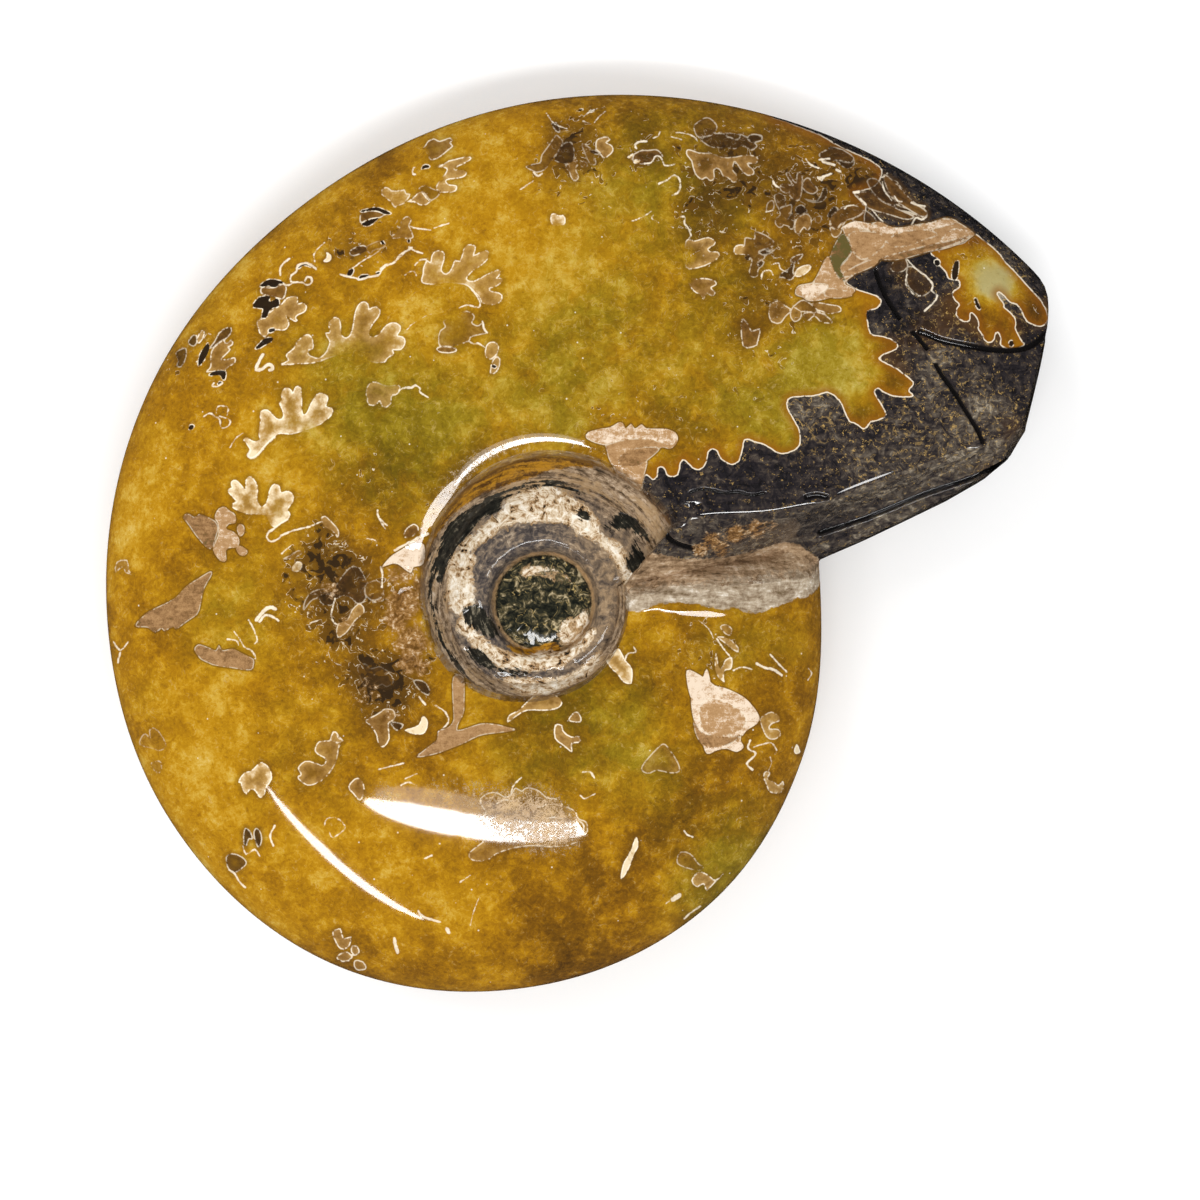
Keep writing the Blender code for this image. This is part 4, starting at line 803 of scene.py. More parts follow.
def asPath(steps, closed):  # a smooth curve through given points, in millimetres
    knots = np.cumsum(np.array(steps, float).reshape(-1, 2), axis=0) / 100.0
    count = len(knots)
    if not closed and count == 2:
        return knots
    out = []
    for index in range(count if closed else count - 1):
        if closed:
            before, first, second, after = (knots[(index + shift) % count] for shift in (-1, 0, 1, 2))
        else:
            before, first = knots[max(index - 1, 0)], knots[index]
            second, after = knots[index + 1], knots[min(index + 2, count - 1)]
        out += [curveThrough(before, first, second, after, part / surface["pathParts"])
                for part in range(surface["pathParts"])]
    if not closed:
        out.append(knots[-1])
    return np.array(out)


def pathDistance(x, y, path, closed):  # how far points lie off a path; less than nothing inside a closed one
    start = path if closed else path[:-1]
    end = np.roll(path, -1, axis=0) if closed else path[1:]
    along = end - start
    length = np.maximum((along ** 2).sum(axis=1), 1e-9)
    best = np.full(len(x), 1e9)
    inside = np.zeros(len(x), bool)
    for begin in range(0, len(x), surface["distancesAtOnce"]):
        part = slice(begin, begin + surface["distancesAtOnce"])
        fromX, fromY = x[part, None] - start[None, :, 0], y[part, None] - start[None, :, 1]
        share = np.clip((fromX * along[:, 0] + fromY * along[:, 1]) / length, 0.0, 1.0)
        off = (fromX - share * along[:, 0]) ** 2 + (fromY - share * along[:, 1]) ** 2
        best[part] = np.sqrt(off.min(axis=1))
        if closed:
            above = (start[None, :, 1] > y[part, None]) != (end[None, :, 1] > y[part, None])
            rise = np.where(np.abs(along[:, 1]) < 1e-12, 1e-12, along[:, 1])
            crossing = start[None, :, 0] + (y[part, None] - start[None, :, 1]) * along[:, 0] / rise
            inside[part] = (above & (x[part, None] < crossing)).sum(axis=1) % 2 == 1
    return np.where(inside, -best, best)


def layOver(field, here, distance):  # the newest outline lies on top of the older ones; says where it counts
    old, inside = field[here], distance < 0.0
    outside = np.where(old < 0.0, np.maximum(old, -distance), np.minimum(old, distance))
    field[here] = np.where(inside, distance, outside)
    return inside | ((old >= 0.0) & (distance < old))


def cloudReach(x, y, spotX, spotY, reach):
    return np.hypot(x - spotX / 100.0, y - spotY / 100.0) / (reach / 100.0)


class Marks:  # all markings as distances and tones at given places
    def __init__(self):
        self.leaves = [(tone, fill, root, asPath(steps, True)) for tone, fill, root, steps in leafMarks]
        self.blacks = [asPath(steps, True) for steps in blackMarks]
        self.flakes = [(tone, asPath(steps, True)) for tone, steps in flakeMarks]
        self.lines = [(half, asPath(steps, False)) for half, steps in lineMarks]
        self.cracksAndShadowGap = [(depth, half, asPath(steps, False)) for depth, half, steps in cracksAndShadowGap]
        self.dish = [(kind, asPath(steps, True)) for kind, steps in dishPatches]
        self.dark, self.island, self.crust = (asPath(steps, True) for steps in
                                              (darkOutline, islandOutline, crustOutline))

    def off(self, places, path, closed=True, where=True):  # which places are near a path, and how far off
        x, y = places
        low, high = path.min(axis=0) - surface["near"], path.max(axis=0) + surface["near"]
        here = np.nonzero((x > low[0]) & (x < high[0]) & (y > low[1]) & (y < high[1]) & where)[0]
        return here, pathDistance(x[here], y[here], path, closed)

    def read(self, x, y, side, stage, along, turned):
        size = len(x)
        out = {name: np.full(size, surface["farDistance"]) for name in
               ("leaf", "black", "flake", "line", "dark", "crust", "crackAndShadowGap", "chalk", "stain", "rust")}
        for name in ("tone", "fill", "flakeTone", "groove", "worn", *clouds):
            out[name] = np.zeros(size)
        out["show"] = np.ones(size)
        top = side > 0
        # leaves lie on both flanks, turned round on the underside
        for tone, fill, root, path in self.leaves:
            here, distance = self.off(turned, path)
            show = np.ones(len(here))
            if root:
                rootX, rootY, reach = np.array(root) / 100.0
                show = smoothStep(0.5 * reach, reach, np.hypot(turned[0][here] - rootX, turned[1][here] - rootY))
            takes = layOver(out["leaf"], here, distance)
            for name, value in (("tone", tone), ("fill", fill), ("show", show)):
                out[name][here] = np.where(takes, value, out[name][here])
        for path in self.blacks:
            here, distance = self.off(turned, path)
            out["black"][here] = np.minimum(out["black"][here], distance)
        for half, path in self.lines:
            here, distance = self.off(turned, path, False)
            out["line"][here] = np.minimum(out["line"][here], distance - half)
        for kind, spots in clouds.items():
            for *spot, strength in spots:
                out[kind] = out[kind] + strength * np.exp(-cloudReach(*turned, *spot) ** 2)
        # what only the shown flank has
        for tone, path in self.flakes:
            here, distance = self.off((x, y), path, where=top)
            takes = layOver(out["flake"], here, distance)
            out["flakeTone"][here] = np.where(takes, tone, out["flakeTone"][here])
        for *spot, strength in wornSpots:
            share = strength * np.exp(-cloudReach(x, y, *spot) ** 3)
            out["worn"] = np.maximum(out["worn"], np.where(top, share, 0.0))
        for depth, half, path in self.cracksAndShadowGap:
            here, distance = self.off((x, y), path, False, top)
            out["crackAndShadowGap"][here] = np.minimum(out["crackAndShadowGap"][here], distance - half)
            foot, brink = surface["grooveWall"]
            cut = depth * (1.0 - smoothStep(foot * half, brink * half, distance))
            out["groove"][here] = np.maximum(out["groove"][here], cut)
        for kind, path in self.dish:
            here, distance = self.off((x, y), path)
            out[kind][here] = np.minimum(out[kind][here], distance)
        here, distance = self.off((x, y), self.crust, where=top)
        out["crust"][here] = distance
        # the dark zone by the mouth goes right round the edge; an amber island lies in it
        here, distance = self.off((x, y), self.dark, where=stage > surface["darkFromStage"])
        out["dark"][here] = distance
        here, distance = self.off((x, y), self.island, where=top)
        out["dark"][here] = np.maximum(out["dark"][here], -distance)
        onBreak = (along > surface["breakFrom"]) & (stage > surface["breakFromStage"])
        out["dark"] = np.where(onBreak, -2.0, out["dark"])
        return out


def seen(x, y, z, side):  # where a point appears from the camera, on the plane that the marks are drawn on
    camX, camY, height = surface["camera"]
    level = np.where(side > 0, z, 2.0 * form["flatSpotDepth"] - z)
    scale = (height - surface["markHeight"]) / (height - level)
    seenX, seenY = camX + (x - camX) * scale, camY + (y - camY) * scale
    angle = math.radians(surface["underTurn"])
    fromX, fromY = seenX - surface["coilCentre"][0], seenY - surface["coilCentre"][1]
    turnedX = surface["coilCentre"][0] + fromX * math.cos(angle) - fromY * math.sin(angle)
    turnedY = surface["coilCentre"][1] + fromX * math.sin(angle) + fromY * math.cos(angle)
    under = side < 0
    return seenX, seenY, (np.where(under, turnedX, seenX), np.where(under, turnedY, seenY))


def points(mesh, holder="vertices", field="co"):
    data = np.empty(len(mesh.vertices) * 3, np.float32)
    getattr(mesh, holder).foreach_get(field, data)
    return data.reshape(-1, 3).astype(float)


def numbers(items, field, count):
    data = np.empty(count, np.int32)
    items.foreach_get(field, data)
    return data


def selectOnly(items, chosen, kind):  # in edit mode, ready for an operator
    bpy.ops.object.mode_set(mode="EDIT")
    bpy.ops.mesh.select_mode(type=kind)
    bpy.ops.mesh.select_all(action="DESELECT")
    bpy.ops.object.mode_set(mode="OBJECT")
    items.foreach_set("select", chosen)
    bpy.ops.object.mode_set(mode="EDIT")


def mapped(spots):
    x, y, z, stage, angle, along, side = sphereToShell(spots)
    x, y = x + middle[0], y + middle[1]
    seenX, seenY, turned = seen(x, y, z, side)
    return x, y, z, stage, angle, along, side, marks.read(seenX, seenY, side, stage, along, turned)


def refine(mesh, level):  # cut up the faces on which a marking's edge would come out crooked
    spots = points(mesh)
    stage, _, along, side, read = mapped(spots)[3:]
    sizes = numbers(mesh.polygons, "loop_total", len(mesh.polygons))
    starts = numbers(mesh.polygons, "loop_start", len(mesh.polygons))
    corners = numbers(mesh.loops, "vertex_index", len(mesh.loops))
    quads = np.nonzero(sizes == 4)[0]
    rings = corners[starts[quads][:, None] + np.arange(4)]
    free = (stage > surface["cutFromStage"]) & (along < surface["breakTo"])
    if level > 0:
        free &= (side > 0) & (stage < surface["fineToStage"])
    quads, rings = quads[free[rings].any(axis=1)], rings[free[rings].any(axis=1)]
    centre = mapped(spots[rings].mean(axis=1))[-1]
    wanted = (read["groove"][rings] > 0.0).any(axis=1)
    wanted |= (read["worn"][rings] > surface["wornFrom"]).any(axis=1) & (level < 1)
    for name, slip in surface["slip"]:
        near = np.minimum(np.abs(read[name][rings]).min(axis=1), np.abs(centre[name])) < surface["reach"][level]
        wanted |= near & (np.abs(read[name][rings].mean(axis=1) - centre[name]) > slip)
    chosen = np.zeros(len(sizes), bool)
    chosen[quads[wanted]] = True
    selectOnly(mesh.polygons, chosen, "FACE")
    bpy.ops.mesh.subdivide(number_cuts=1, quadcorner="INNERVERT")
    bpy.ops.object.mode_set(mode="OBJECT")
    print("refined", int(chosen.sum()), "faces, now", len(mesh.polygons))


bpy.ops.object.select_all(action="DESELECT")
bpy.ops.mesh.primitive_uv_sphere_add(segments=columnCount, ring_count=topCount + underCount, radius=1.0,
                                     location=(0.0, 0.0, 0.0))
fossil = bpy.context.object
fossil.name = fossil.data.name = "ammonite_surface"
marks = Marks()
low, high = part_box("ammonite")
plain = sphereToShell(points(fossil.data))
middle = tuple((low[axis] + high[axis]) * 500.0 - (plain[axis].min() + plain[axis].max()) / 2.0 for axis in (0, 1))
for level in range(len(surface["reach"])):
    refine(fossil.data, level)
x, y, z, stage, _, along, side, read = mapped(points(fossil.data))
fossil.data.vertices.foreach_set("co", (np.stack((x, y, z), axis=1) * 0.001).astype(np.float32).ravel())
fossil.data.update()
print("surface laid,", len(fossil.data.polygons), "faces")

relief = {
    "ridgeReach": 1.3, "ridgeRounds": 14, "slotEnd": 12.9, "slotFade": 0.3,
    "lumpFalloff": 0.8, "lumpStep": 2.1, "lumpOctaves": 5,
    "crustLump": 0.22, "crustGrain": 0.8, "wornLump": 0.07, "wornGrain": 1.3,
    "dishLump": 0.2, "dishGrain": 0.75, "chalkRise": 0.12, "stainDrop": 0.1,
    "flakeRise": 0.02,
}


def lumps(places, grain, seed):  # uneven growth between about -1 and 1
    out = np.empty(len(places))
    shift = Vector((seed * 17.3, seed * 5.1, seed * 9.7))
    for index, place in enumerate(places):
        out[index] = noise.fractal(Vector(place) * grain + shift, relief["lumpFalloff"], relief["lumpStep"],
                                   relief["lumpOctaves"])
    return out


# the broken mouth's ridge is rubbed round
highX, highY, _ = whorlPoint(stage, np.full_like(stage, form["mouthAngle"]), side, ridgeBend(1.0))
ridgeOff = np.hypot(x - middle[0] - highX, y - middle[1] - highY)
onRidge = (ridgeOff < relief["ridgeReach"]) & (stage > 10.0) & (stage < 12.4) & (side > 0)
selectOnly(fossil.data.vertices, onRidge, "VERT")
bpy.ops.mesh.vertices_smooth(factor=0.5, repeat=relief["ridgeRounds"])
bpy.ops.object.mode_set(mode="OBJECT")

places = points(fossil.data) * 1000.0
normals = points(fossil.data, "vertex_normals", "vector")
rise = -read["groove"] * np.clip((relief["slotEnd"] - stage) / relief["slotFade"], 0.0, 1.0)
crustShare = smoothStep(0.25, -0.5, read["crust"])
here = crustShare > 0.0
rise[here] += relief["crustLump"] * crustShare[here] * lumps(places[here], relief["crustGrain"], 1)
here = read["worn"] > 0.05
rise[here] += relief["wornLump"] * read["worn"][here] * (lumps(places[here], relief["wornGrain"], 2) - 0.4)
chalkShare = smoothStep(0.15, -0.25, read["chalk"])
stainShare = smoothStep(0.15, -0.25, read["stain"])
inDish = smoothStep(10.1, 9.8, stage) * smoothStep(0.0, 1.0, stage)
here = inDish > 0.0
rise[here] += inDish[here] * (relief["dishLump"] * (0.25 + 0.75 * chalkShare[here])
                              * lumps(places[here], relief["dishGrain"], 3)
                              + relief["chalkRise"] * chalkShare[here] - relief["stainDrop"] * stainShare[here])
rise -= relief["flakeRise"] * smoothStep(0.05, -0.05, read["flake"])
places += normals * rise[:, None]
fossil.data.vertices.foreach_set("co", (places * 0.001).astype(np.float32).ravel())
fossil.data.update()
bpy.ops.object.select_all(action="DESELECT")
bpy.context.view_layer.objects.active = fossil
fossil.select_set(True)
bpy.ops.object.shade_smooth_by_angle(angle=math.radians(surface["sharpAngle"]))
print("relief done")


def carry(name, *values):  # three numbers for each point, for the material to read
    layer = fossil.data.attributes.new(name, "FLOAT_VECTOR", "POINT")
    layer.data.foreach_set("vector", np.stack(values, axis=1).astype(np.float32).ravel())


def short(name):
    return np.clip(read[name], -3.0, 3.0)


carry("leaf", short("leaf"), read["tone"], read["fill"] * read["show"])
carry("lines", short("line"), short("black"), read["show"])
carry("zones", short("dark"), short("flake"), read["flakeTone"])
carry("clouds", read["warm"], read["pale"], read["darkSpotsAndShade"])
carry("wear", short("crust"), read["worn"], short("crackAndShadowGap"))
carry("dish", short("chalk"), short("stain"), short("rust"))
carry("tints", read["olive"], read["paintedGlow"], np.where(side > 0, read["satin"], 0.0))
carry("place", stage, along, side)


class Wire:  # a socket in a material, with sums on it that add Math nodes
    def __init__(self, finish, socket):
        self.finish, self.socket = finish, socket

    def sum(self, operation, *values):
        return self.finish.node("ShaderNodeMath", {"operation": operation}, dict(enumerate(values)))

    def __add__(self, other):
        return self.sum("ADD", self, other)

    def __radd__(self, other):
        return self.sum("ADD", other, self)

    def __sub__(self, other):
        return self.sum("SUBTRACT", self, other)

    def __rsub__(self, other):
        return self.sum("SUBTRACT", other, self)

    def __mul__(self, other):
        return self.sum("MULTIPLY", self, other)

    def __rmul__(self, other):
        return self.sum("MULTIPLY", other, self)

    def __abs__(self):
        return self.sum("ABSOLUTE", self)

    def least(self, other):
        return self.sum("MINIMUM", self, other)

    def most(self, other):
        return self.sum("MAXIMUM", self, other)

    def step(self, low, high):  # 0 at low, 1 at high, smooth between; low may be the larger
        sockets = {"Value": self, "From Min": low, "From Max": high}
        return self.finish.node("ShaderNodeMapRange", {"interpolation_type": "SMOOTHSTEP"}, sockets)


class Finish:
    def __init__(self, name):
        self.material = bpy.data.materials.new(name)
        self.material.use_nodes = True
        self.tree = self.material.node_tree
        self.tree.nodes.clear()

    def node(self, kind, settings, sockets, output=0):
        made = self.tree.nodes.new(kind)
        for name, value in settings.items():
            if name == "stops":
                elements = made.color_ramp.elements
                while len(elements) < len(value):
                    elements.new(0.5)
                for element, (place, colour) in zip(elements, value):
                    element.position, element.color = place, (*colour, 1.0)
            else:
                setattr(made, name, value)
        for name, value in sockets.items():
            socket = made.inputs[name]
            if isinstance(value, Wire):
                self.tree.links.new(value.socket, socket)
            elif isinstance(value, tuple) and len(value) == 3 and socket.type == "RGBA":
                socket.default_value = (*value, 1.0)
            else:
                socket.default_value = value
        return Wire(self, made.outputs[output])

    def close(self, shader):
        self.tree.links.new(shader.socket, self.tree.nodes.new("ShaderNodeOutputMaterial").inputs["Surface"])

    def part(self, vector, output):
        return self.node("ShaderNodeSeparateXYZ", {}, {0: vector}, output)

    def carried(self, name):
        vector = self.node("ShaderNodeAttribute", {"attribute_name": name}, {}, 1)
        return tuple(self.part(vector, axis) for axis in range(3))

    def blend(self, share, first, second):
        return self.node("ShaderNodeMix", {"data_type": "RGBA"}, {0: share, 6: first, 7: second}, 2)

    def ramp(self, value, stops):
        return self.node("ShaderNodeValToRGB", {"stops": stops}, {0: value})

    def cloud(self, vector, scale, detail=3.0, roughness=0.55, contrast=1.0):
        sockets = {"Vector": vector, "Scale": scale, "Detail": detail, "Roughness": roughness}
        made = self.node("ShaderNodeTexNoise", {}, sockets)
        return made if contrast == 1.0 else made * contrast + 0.5 * (1.0 - contrast)

    def moved(self, vector, other, amount):  # a vector pushed about by a colour
        off = self.node("ShaderNodeVectorMath", {"operation": "SUBTRACT"}, {0: other, 1: (0.5, 0.5, 0.5)})
        off = self.node("ShaderNodeVectorMath", {"operation": "SCALE"}, {0: off, "Scale": amount})
        return self.node("ShaderNodeVectorMath", {"operation": "ADD"}, {0: vector, 1: off})


# the noises that all the looks share: how fine, how many octaves, their roughness, their contrast
grains = {
    "broad": (0.14, 2.0), "medium": (0.55, 4.0, 0.66), "fine": (2.4, 2.0, 0.6), "grain": (9.0, 1.0),
    "wobble": 0.8, "push": 2.4,  # the wobble pushes the next three about, in millimetres
    "patchy": (0.33, 3.0, 0.65), "mottle": (1.15, 4.0, 0.72, 2.2), "lobed": (0.95, 1.0, 0.5),
    "fibreTurn": (0.0, 0.0, -0.25), "fibreScale": (0.35, 2.0, 0.8), "fibres": (1.0, 3.0, 0.7, 2.2),
    "hoops": (1.0, 3.0, 0.7, 2.4), "dots": 0.55,
}
amberLook = {
    "stone": ((0.0, (0.075, 0.030, 0.001)), (0.22, (0.190, 0.078, 0.001)), (0.40, (0.335, 0.150, 0.001)),
              (0.56, (0.455, 0.224, 0.003)), (0.74, (0.560, 0.340, 0.040)), (1.0, (0.680, 0.500, 0.170))),
    "level": 0.338, "mist": (0.380, 0.320, 0.135),
    "olive": ((0.0, (0.060, 0.040, 0.001)), (0.30, (0.160, 0.108, 0.002)), (0.50, (0.260, 0.182, 0.007)),
              (0.70, (0.390, 0.300, 0.042)), (1.0, (0.560, 0.490, 0.180))),
    "brown": (0.100, 0.048, 0.006),
    "vein": (0.560, 0.400, 0.150), "speck": (0.85, 0.78, 0.62), "rim": (0.93, 0.82, 0.64),
    "tones": ((0.0, (0.012, 0.007, 0.004)), (0.2, (0.060, 0.026, 0.006)), (0.4, (0.160, 0.072, 0.014)),
              (0.6, (0.310, 0.165, 0.045)), (0.8, (0.500, 0.300, 0.095)), (1.0, (0.880, 0.730, 0.490))),
    # brown of the crowded lobes, also used as painted shade round leaves and flakes
    "black": (0.010, 0.006, 0.004), "brownAndPaintedShade": (0.110, 0.048, 0.003),
    "scallop": (0.230, 0.074, 0.002), "scuffAndSheen": (0.74, 0.56, 0.38),
    "roughness": 0.95, "satin": 0.22, "coatRoughness": 0.045, "specular": 0.20, "bump": 0.0002,
}
darkLook = {
    "stops": ((0.32, (0.006, 0.005, 0.006)), (0.48, (0.016, 0.013, 0.015)), (0.60, (0.042, 0.032, 0.027)),
              (0.74, (0.110, 0.088, 0.066)), (0.90, (0.380, 0.320, 0.230))),
    "gold": (0.50, 0.32, 0.10), "brown": (0.095, 0.042, 0.009), "crackAndShadowGap": (0.004, 0.003, 0.003),
}
flakeLook = {"stops": ((0.05, (0.110, 0.085, 0.022)), (0.25, (0.190, 0.095, 0.034)), (0.50, (0.345, 0.190, 0.078)),
                       (0.75, (0.440, 0.258, 0.118)), (1.0, (0.780, 0.630, 0.480)))}
crustLook = {
    "pink": ((0.24, (0.050, 0.028, 0.014)), (0.42, (0.220, 0.135, 0.070)), (0.60, (0.430, 0.290, 0.170)),
             (0.84, (0.800, 0.660, 0.500))),
    "white": ((0.24, (0.120, 0.075, 0.034)), (0.42, (0.290, 0.215, 0.140)), (0.60, (0.500, 0.410, 0.300)),
              (0.82, (0.900, 0.850, 0.760))),
    "split": (0.10, 4.7),  # where the white lower fringe begins: its slope and its height in millimetres
}
wornLook = {"stops": ((0.28, (0.035, 0.015, 0.005)), (0.45, (0.160, 0.072, 0.018)), (0.58, (0.350, 0.185, 0.062)),
                      (0.74, (0.790, 0.650, 0.470)))}
dishLook = {
    "centre": (-2.95, -5.36), "discRadius": 4.45, "seamWidth": 0.24,
    "disc": ((0.32, (0.005, 0.006, 0.004)), (0.50, (0.024, 0.024, 0.014)), (0.64, (0.095, 0.075, 0.034)),
             (0.82, (0.52, 0.42, 0.25))),
    "ring": ((0.22, (0.014, 0.012, 0.013)), (0.46, (0.080, 0.066, 0.060)), (0.64, (0.240, 0.180, 0.125)),
             (0.86, (0.66, 0.54, 0.40))),
    "wall": ((0.22, (0.020, 0.014, 0.009)), (0.40, (0.150, 0.095, 0.052)), (0.58, (0.420, 0.300, 0.190)),
             (0.82, (0.74, 0.62, 0.49))),
    "chalk": ((0.27, (0.010, 0.009, 0.008)), (0.37, (0.360, 0.210, 0.090)), (0.50, (0.680, 0.555, 0.390)),
              (0.72, (0.93, 0.87, 0.76))),
    "stain": ((0.30, (0.004, 0.004, 0.003)), (0.58, (0.026, 0.024, 0.017)), (0.82, (0.34, 0.29, 0.20))),
    "rust": (0.44, 0.205, 0.012), "rustDark": (0.090, 0.036, 0.005), "seam": (0.42, 0.270, 0.130),
}


def amberFinish():
    use = Finish("amber calcite")
    spot = use.node("ShaderNodeTexCoord", {}, {}, 3)
    spot = use.node("ShaderNodeVectorMath", {"operation": "SCALE"}, {0: spot, "Scale": 1000.0})
    leaf, tone, fill = use.carried("leaf")
    line, black, show = use.carried("lines")
    dark, flake, flakeTone = use.carried("zones")
    warm, pale, darkSpotsAndShade = use.carried("clouds")
    crust, worn, crackAndShadowGap = use.carried("wear")
    chalk, stain, rust = use.carried("dish")
    olive, paintedGlow, satin = use.carried("tints")
    stage, along, _ = use.carried("place")

    broad, medium, fine, grain = (use.cloud(spot, *grains[name]) for name in ("broad", "medium", "fine", "grain"))
    wobble = use.node("ShaderNodeTexNoise", {}, {"Vector": spot, "Scale": grains["wobble"], "Detail": 1.0}, 1)
    bent = use.moved(spot, wobble, grains["push"])
    patchy, mottle, lobed = (use.cloud(bent, *grains[name]) for name in ("patchy", "mottle", "lobed"))
    fibre = use.node("ShaderNodeMapping", {}, {
        "Vector": spot, "Rotation": grains["fibreTurn"], "Scale": grains["fibreScale"]})
    fibres = use.cloud(fibre, *grains["fibres"])

    # the cloudy stone
    level = medium.step(0.42, 0.72) * 0.22 + (broad - 0.5) * 0.6 + (fine - 0.5) * 0.30 + (mottle - 0.5) * 0.08
    level = level + abs(mottle - 0.5).step(0.10, 0.0) * 0.10 + amberLook["level"]
    # the glow clouds lighten the amber here as painted light
    level = level + paintedGlow * 0.25 + pale * 0.22 - warm * 0.26 - darkSpotsAndShade * 0.14 - olive * 0.04
    colour = use.ramp(level, amberLook["stone"])
    greening = (olive + pale * 0.30 + 0.22) * (patchy * 1.2 + 0.15)
    colour = use.blend(greening.step(0.05, 0.95) * 0.92, colour, use.ramp(level, amberLook["olive"]))
    colour = use.blend((pale + (medium - 0.5) * 1.5).step(1.25, 2.3) * 0.8, colour, amberLook["mist"])
    # the dim clouds turn the amber brown: painted shade where they are broad and weak, dark clusters where small and
    # strong
    colour = use.blend((darkSpotsAndShade * (0.35 + 0.7 * mottle)).step(0.06, 1.1) * 0.75, colour, amberLook["brown"])
    ridged = abs(patchy - 0.5).step(0.010, 0.0) * (fine + pale * 0.1 - warm * 0.1).step(0.48, 0.62)
    colour = use.blend(ridged * 0.30, colour, amberLook["vein"])
    wisps = abs(lobed - 0.50).step(0.014, 0.002) * (medium + pale * 0.1 + darkSpotsAndShade * 0.1).step(0.50, 0.64)
    colour = use.blend(wisps * 0.35, colour, amberLook["vein"])
    colour = use.blend(fine.step(0.38, 0.30) * 0.16, colour, amberLook["brown"])
    dots = use.node("ShaderNodeTexVoronoi", {}, {"Vector": spot, "Scale": grains["dots"]})
    colour = use.blend(dots.step(0.055, 0.03) * 0.7, colour, amberLook["speck"])

    # crowded small lobes in the dark clusters, each with a thin pale rim
    lobes = lobed + darkSpotsAndShade * 0.34 + (fine - 0.5) * 0.10 - 0.80
    crowd = darkSpotsAndShade.step(0.10, 0.35)
    colour = use.blend(lobes.step(0.0, 0.03) * crowd * (0.25 + mottle * 0.9).least(0.85), colour, amberLook["brownAndPaintedShade"])
    colour = use.blend((lobes - mottle * 0.22).step(0.0, 0.05) * crowd * 0.8, colour, amberLook["black"])
    lobeRim = abs(lobes).step(0.016, 0.004) * crowd * fine.step(0.46, 0.58)
    colour = use.blend(lobeRim * 0.6, colour, amberLook["rim"])

    # the dark filling by the mouth, with a fiery margin in the amber beside it
    onFace = along.step(0.0, 0.05)
    darkLevel = mottle * 0.46 + patchy * 0.36 + fibres * 0.18 + pale * 0.18 + onFace * 0.14 - 0.02
    darkColour = use.ramp(darkLevel, darkLook["stops"])
    darkColour = use.blend((warm * (0.2 + patchy * 1.3)).step(0.2, 0.9) * 0.8, darkColour, darkLook["brown"])
    net = abs(lobed - 0.5).step(0.03, 0.006) * (pale + warm * 0.5).step(0.05, 0.5) * fine.step(0.42, 0.55)
    darkColour = use.blend(net * 0.35, darkColour, darkLook["gold"])
    gold = (fine * 0.6 + grain * 0.4).step(0.59, 0.65) * (patchy + pale * 0.3 + warm * 0.2).step(0.36, 0.62)
    darkColour = use.blend(gold * 0.75, darkColour, darkLook["gold"])
    edge = dark + (fine - 0.5) * 0.14
    colour = use.blend(dark.step(1.0, 0.05) * (0.35 + medium * 0.6).least(1.0), colour, amberLook["scallop"])
    colour = use.blend(edge.step(0.03, -0.03), colour, darkColour)
    darkRim = abs(edge).step(0.085, 0.02) * (1.0 - onFace) * stage.step(12.6, 12.2)
    colour = use.blend(darkRim * (fine + medium).step(0.75, 0.95) * 0.8, colour, amberLook["rim"])

    # leaves: a glassy body that brightens towards its margin, a thin pale rim and a painted shade round it
    colour = use.blend(leaf.step(0.55, 0.0) * fill * 0.55, colour, amberLook["brownAndPaintedShade"])
    toneMove = tone + leaf.step(-0.8, -0.06) * fill * 0.22 + (fine - 0.5) * 0.40 + (medium - 0.5) * 0.6 - 0.15
    body = leaf.step(0.03, -0.05) * fill * (0.30 + 0.85 * leaf.step(-1.0, -0.1)) * (0.6 + 0.8 * medium)
    colour = use.blend(body.least(0.85), colour, use.ramp(toneMove.most(0.0), amberLook["tones"]))
    rimLine = abs(leaf + 0.02 + (grain - 0.5) * 0.05).step(0.085, 0.025)
    broken = (fine + medium).step(0.84, 1.08) * (1.1 - darkSpotsAndShade * 0.5)
    rim = rimLine * (0.10 + fill * (0.45 + tone)).least(1.0) * show * broken
    colour = use.blend(rim * 0.85, colour, amberLook["rim"])
    colour = use.blend(black.step(0.04, -0.04) * 0.96, colour, amberLook["black"])
    colour = use.blend(abs(black - 0.02).step(0.07, 0.02) * fine.step(0.4, 0.6) * 0.8, colour, amberLook["rim"])
    thread = (line + 0.03 + (fine - 0.5) * 0.22).step(0.05, -0.04)
    colour = use.blend(thread * (0.45 + mottle * 0.7).least(0.9), colour, amberLook["rim"])
    # black in the cracks; in the slot where the dish's wall meets the dark face it is painted shadow
    colour = use.blend(crackAndShadowGap.step(0.02, -0.14), colour, darkLook["crackAndShadowGap"])

    # worn and satin places; the pale blend on the satin ones is partly a painted sheen
    rub = (worn + (fine - 0.5) * 0.8 + (mottle - 0.5) * 0.6).step(0.35, 0.80)
    colour = use.blend(rub * 0.85, colour, use.ramp(mottle * 0.45 + fine * 0.55, wornLook["stops"]))
    scuffAndSheen = (satin.least(1.0) * 0.50 + (fine - 0.5) * 1.3 + (grain - 0.5) * 1.3).step(0.18, 0.50)
    scuffAndSheen = scuffAndSheen * satin.step(0.05, 0.35)
    # pale scuffs: partly the rubbed surface, partly a painted sheen along the highlights
    colour = use.blend(scuffAndSheen * 0.42, colour, amberLook["scuffAndSheen"])

    # thin flakes of shell
    flakeMask = (flake + (fine - 0.5) * 0.08).step(0.03, -0.03)
    flakeLevel = flakeTone + (mottle + fibres - 1.0) * 0.35 + (fine - 0.5) * 0.5 + (grain - 0.5) * 0.4
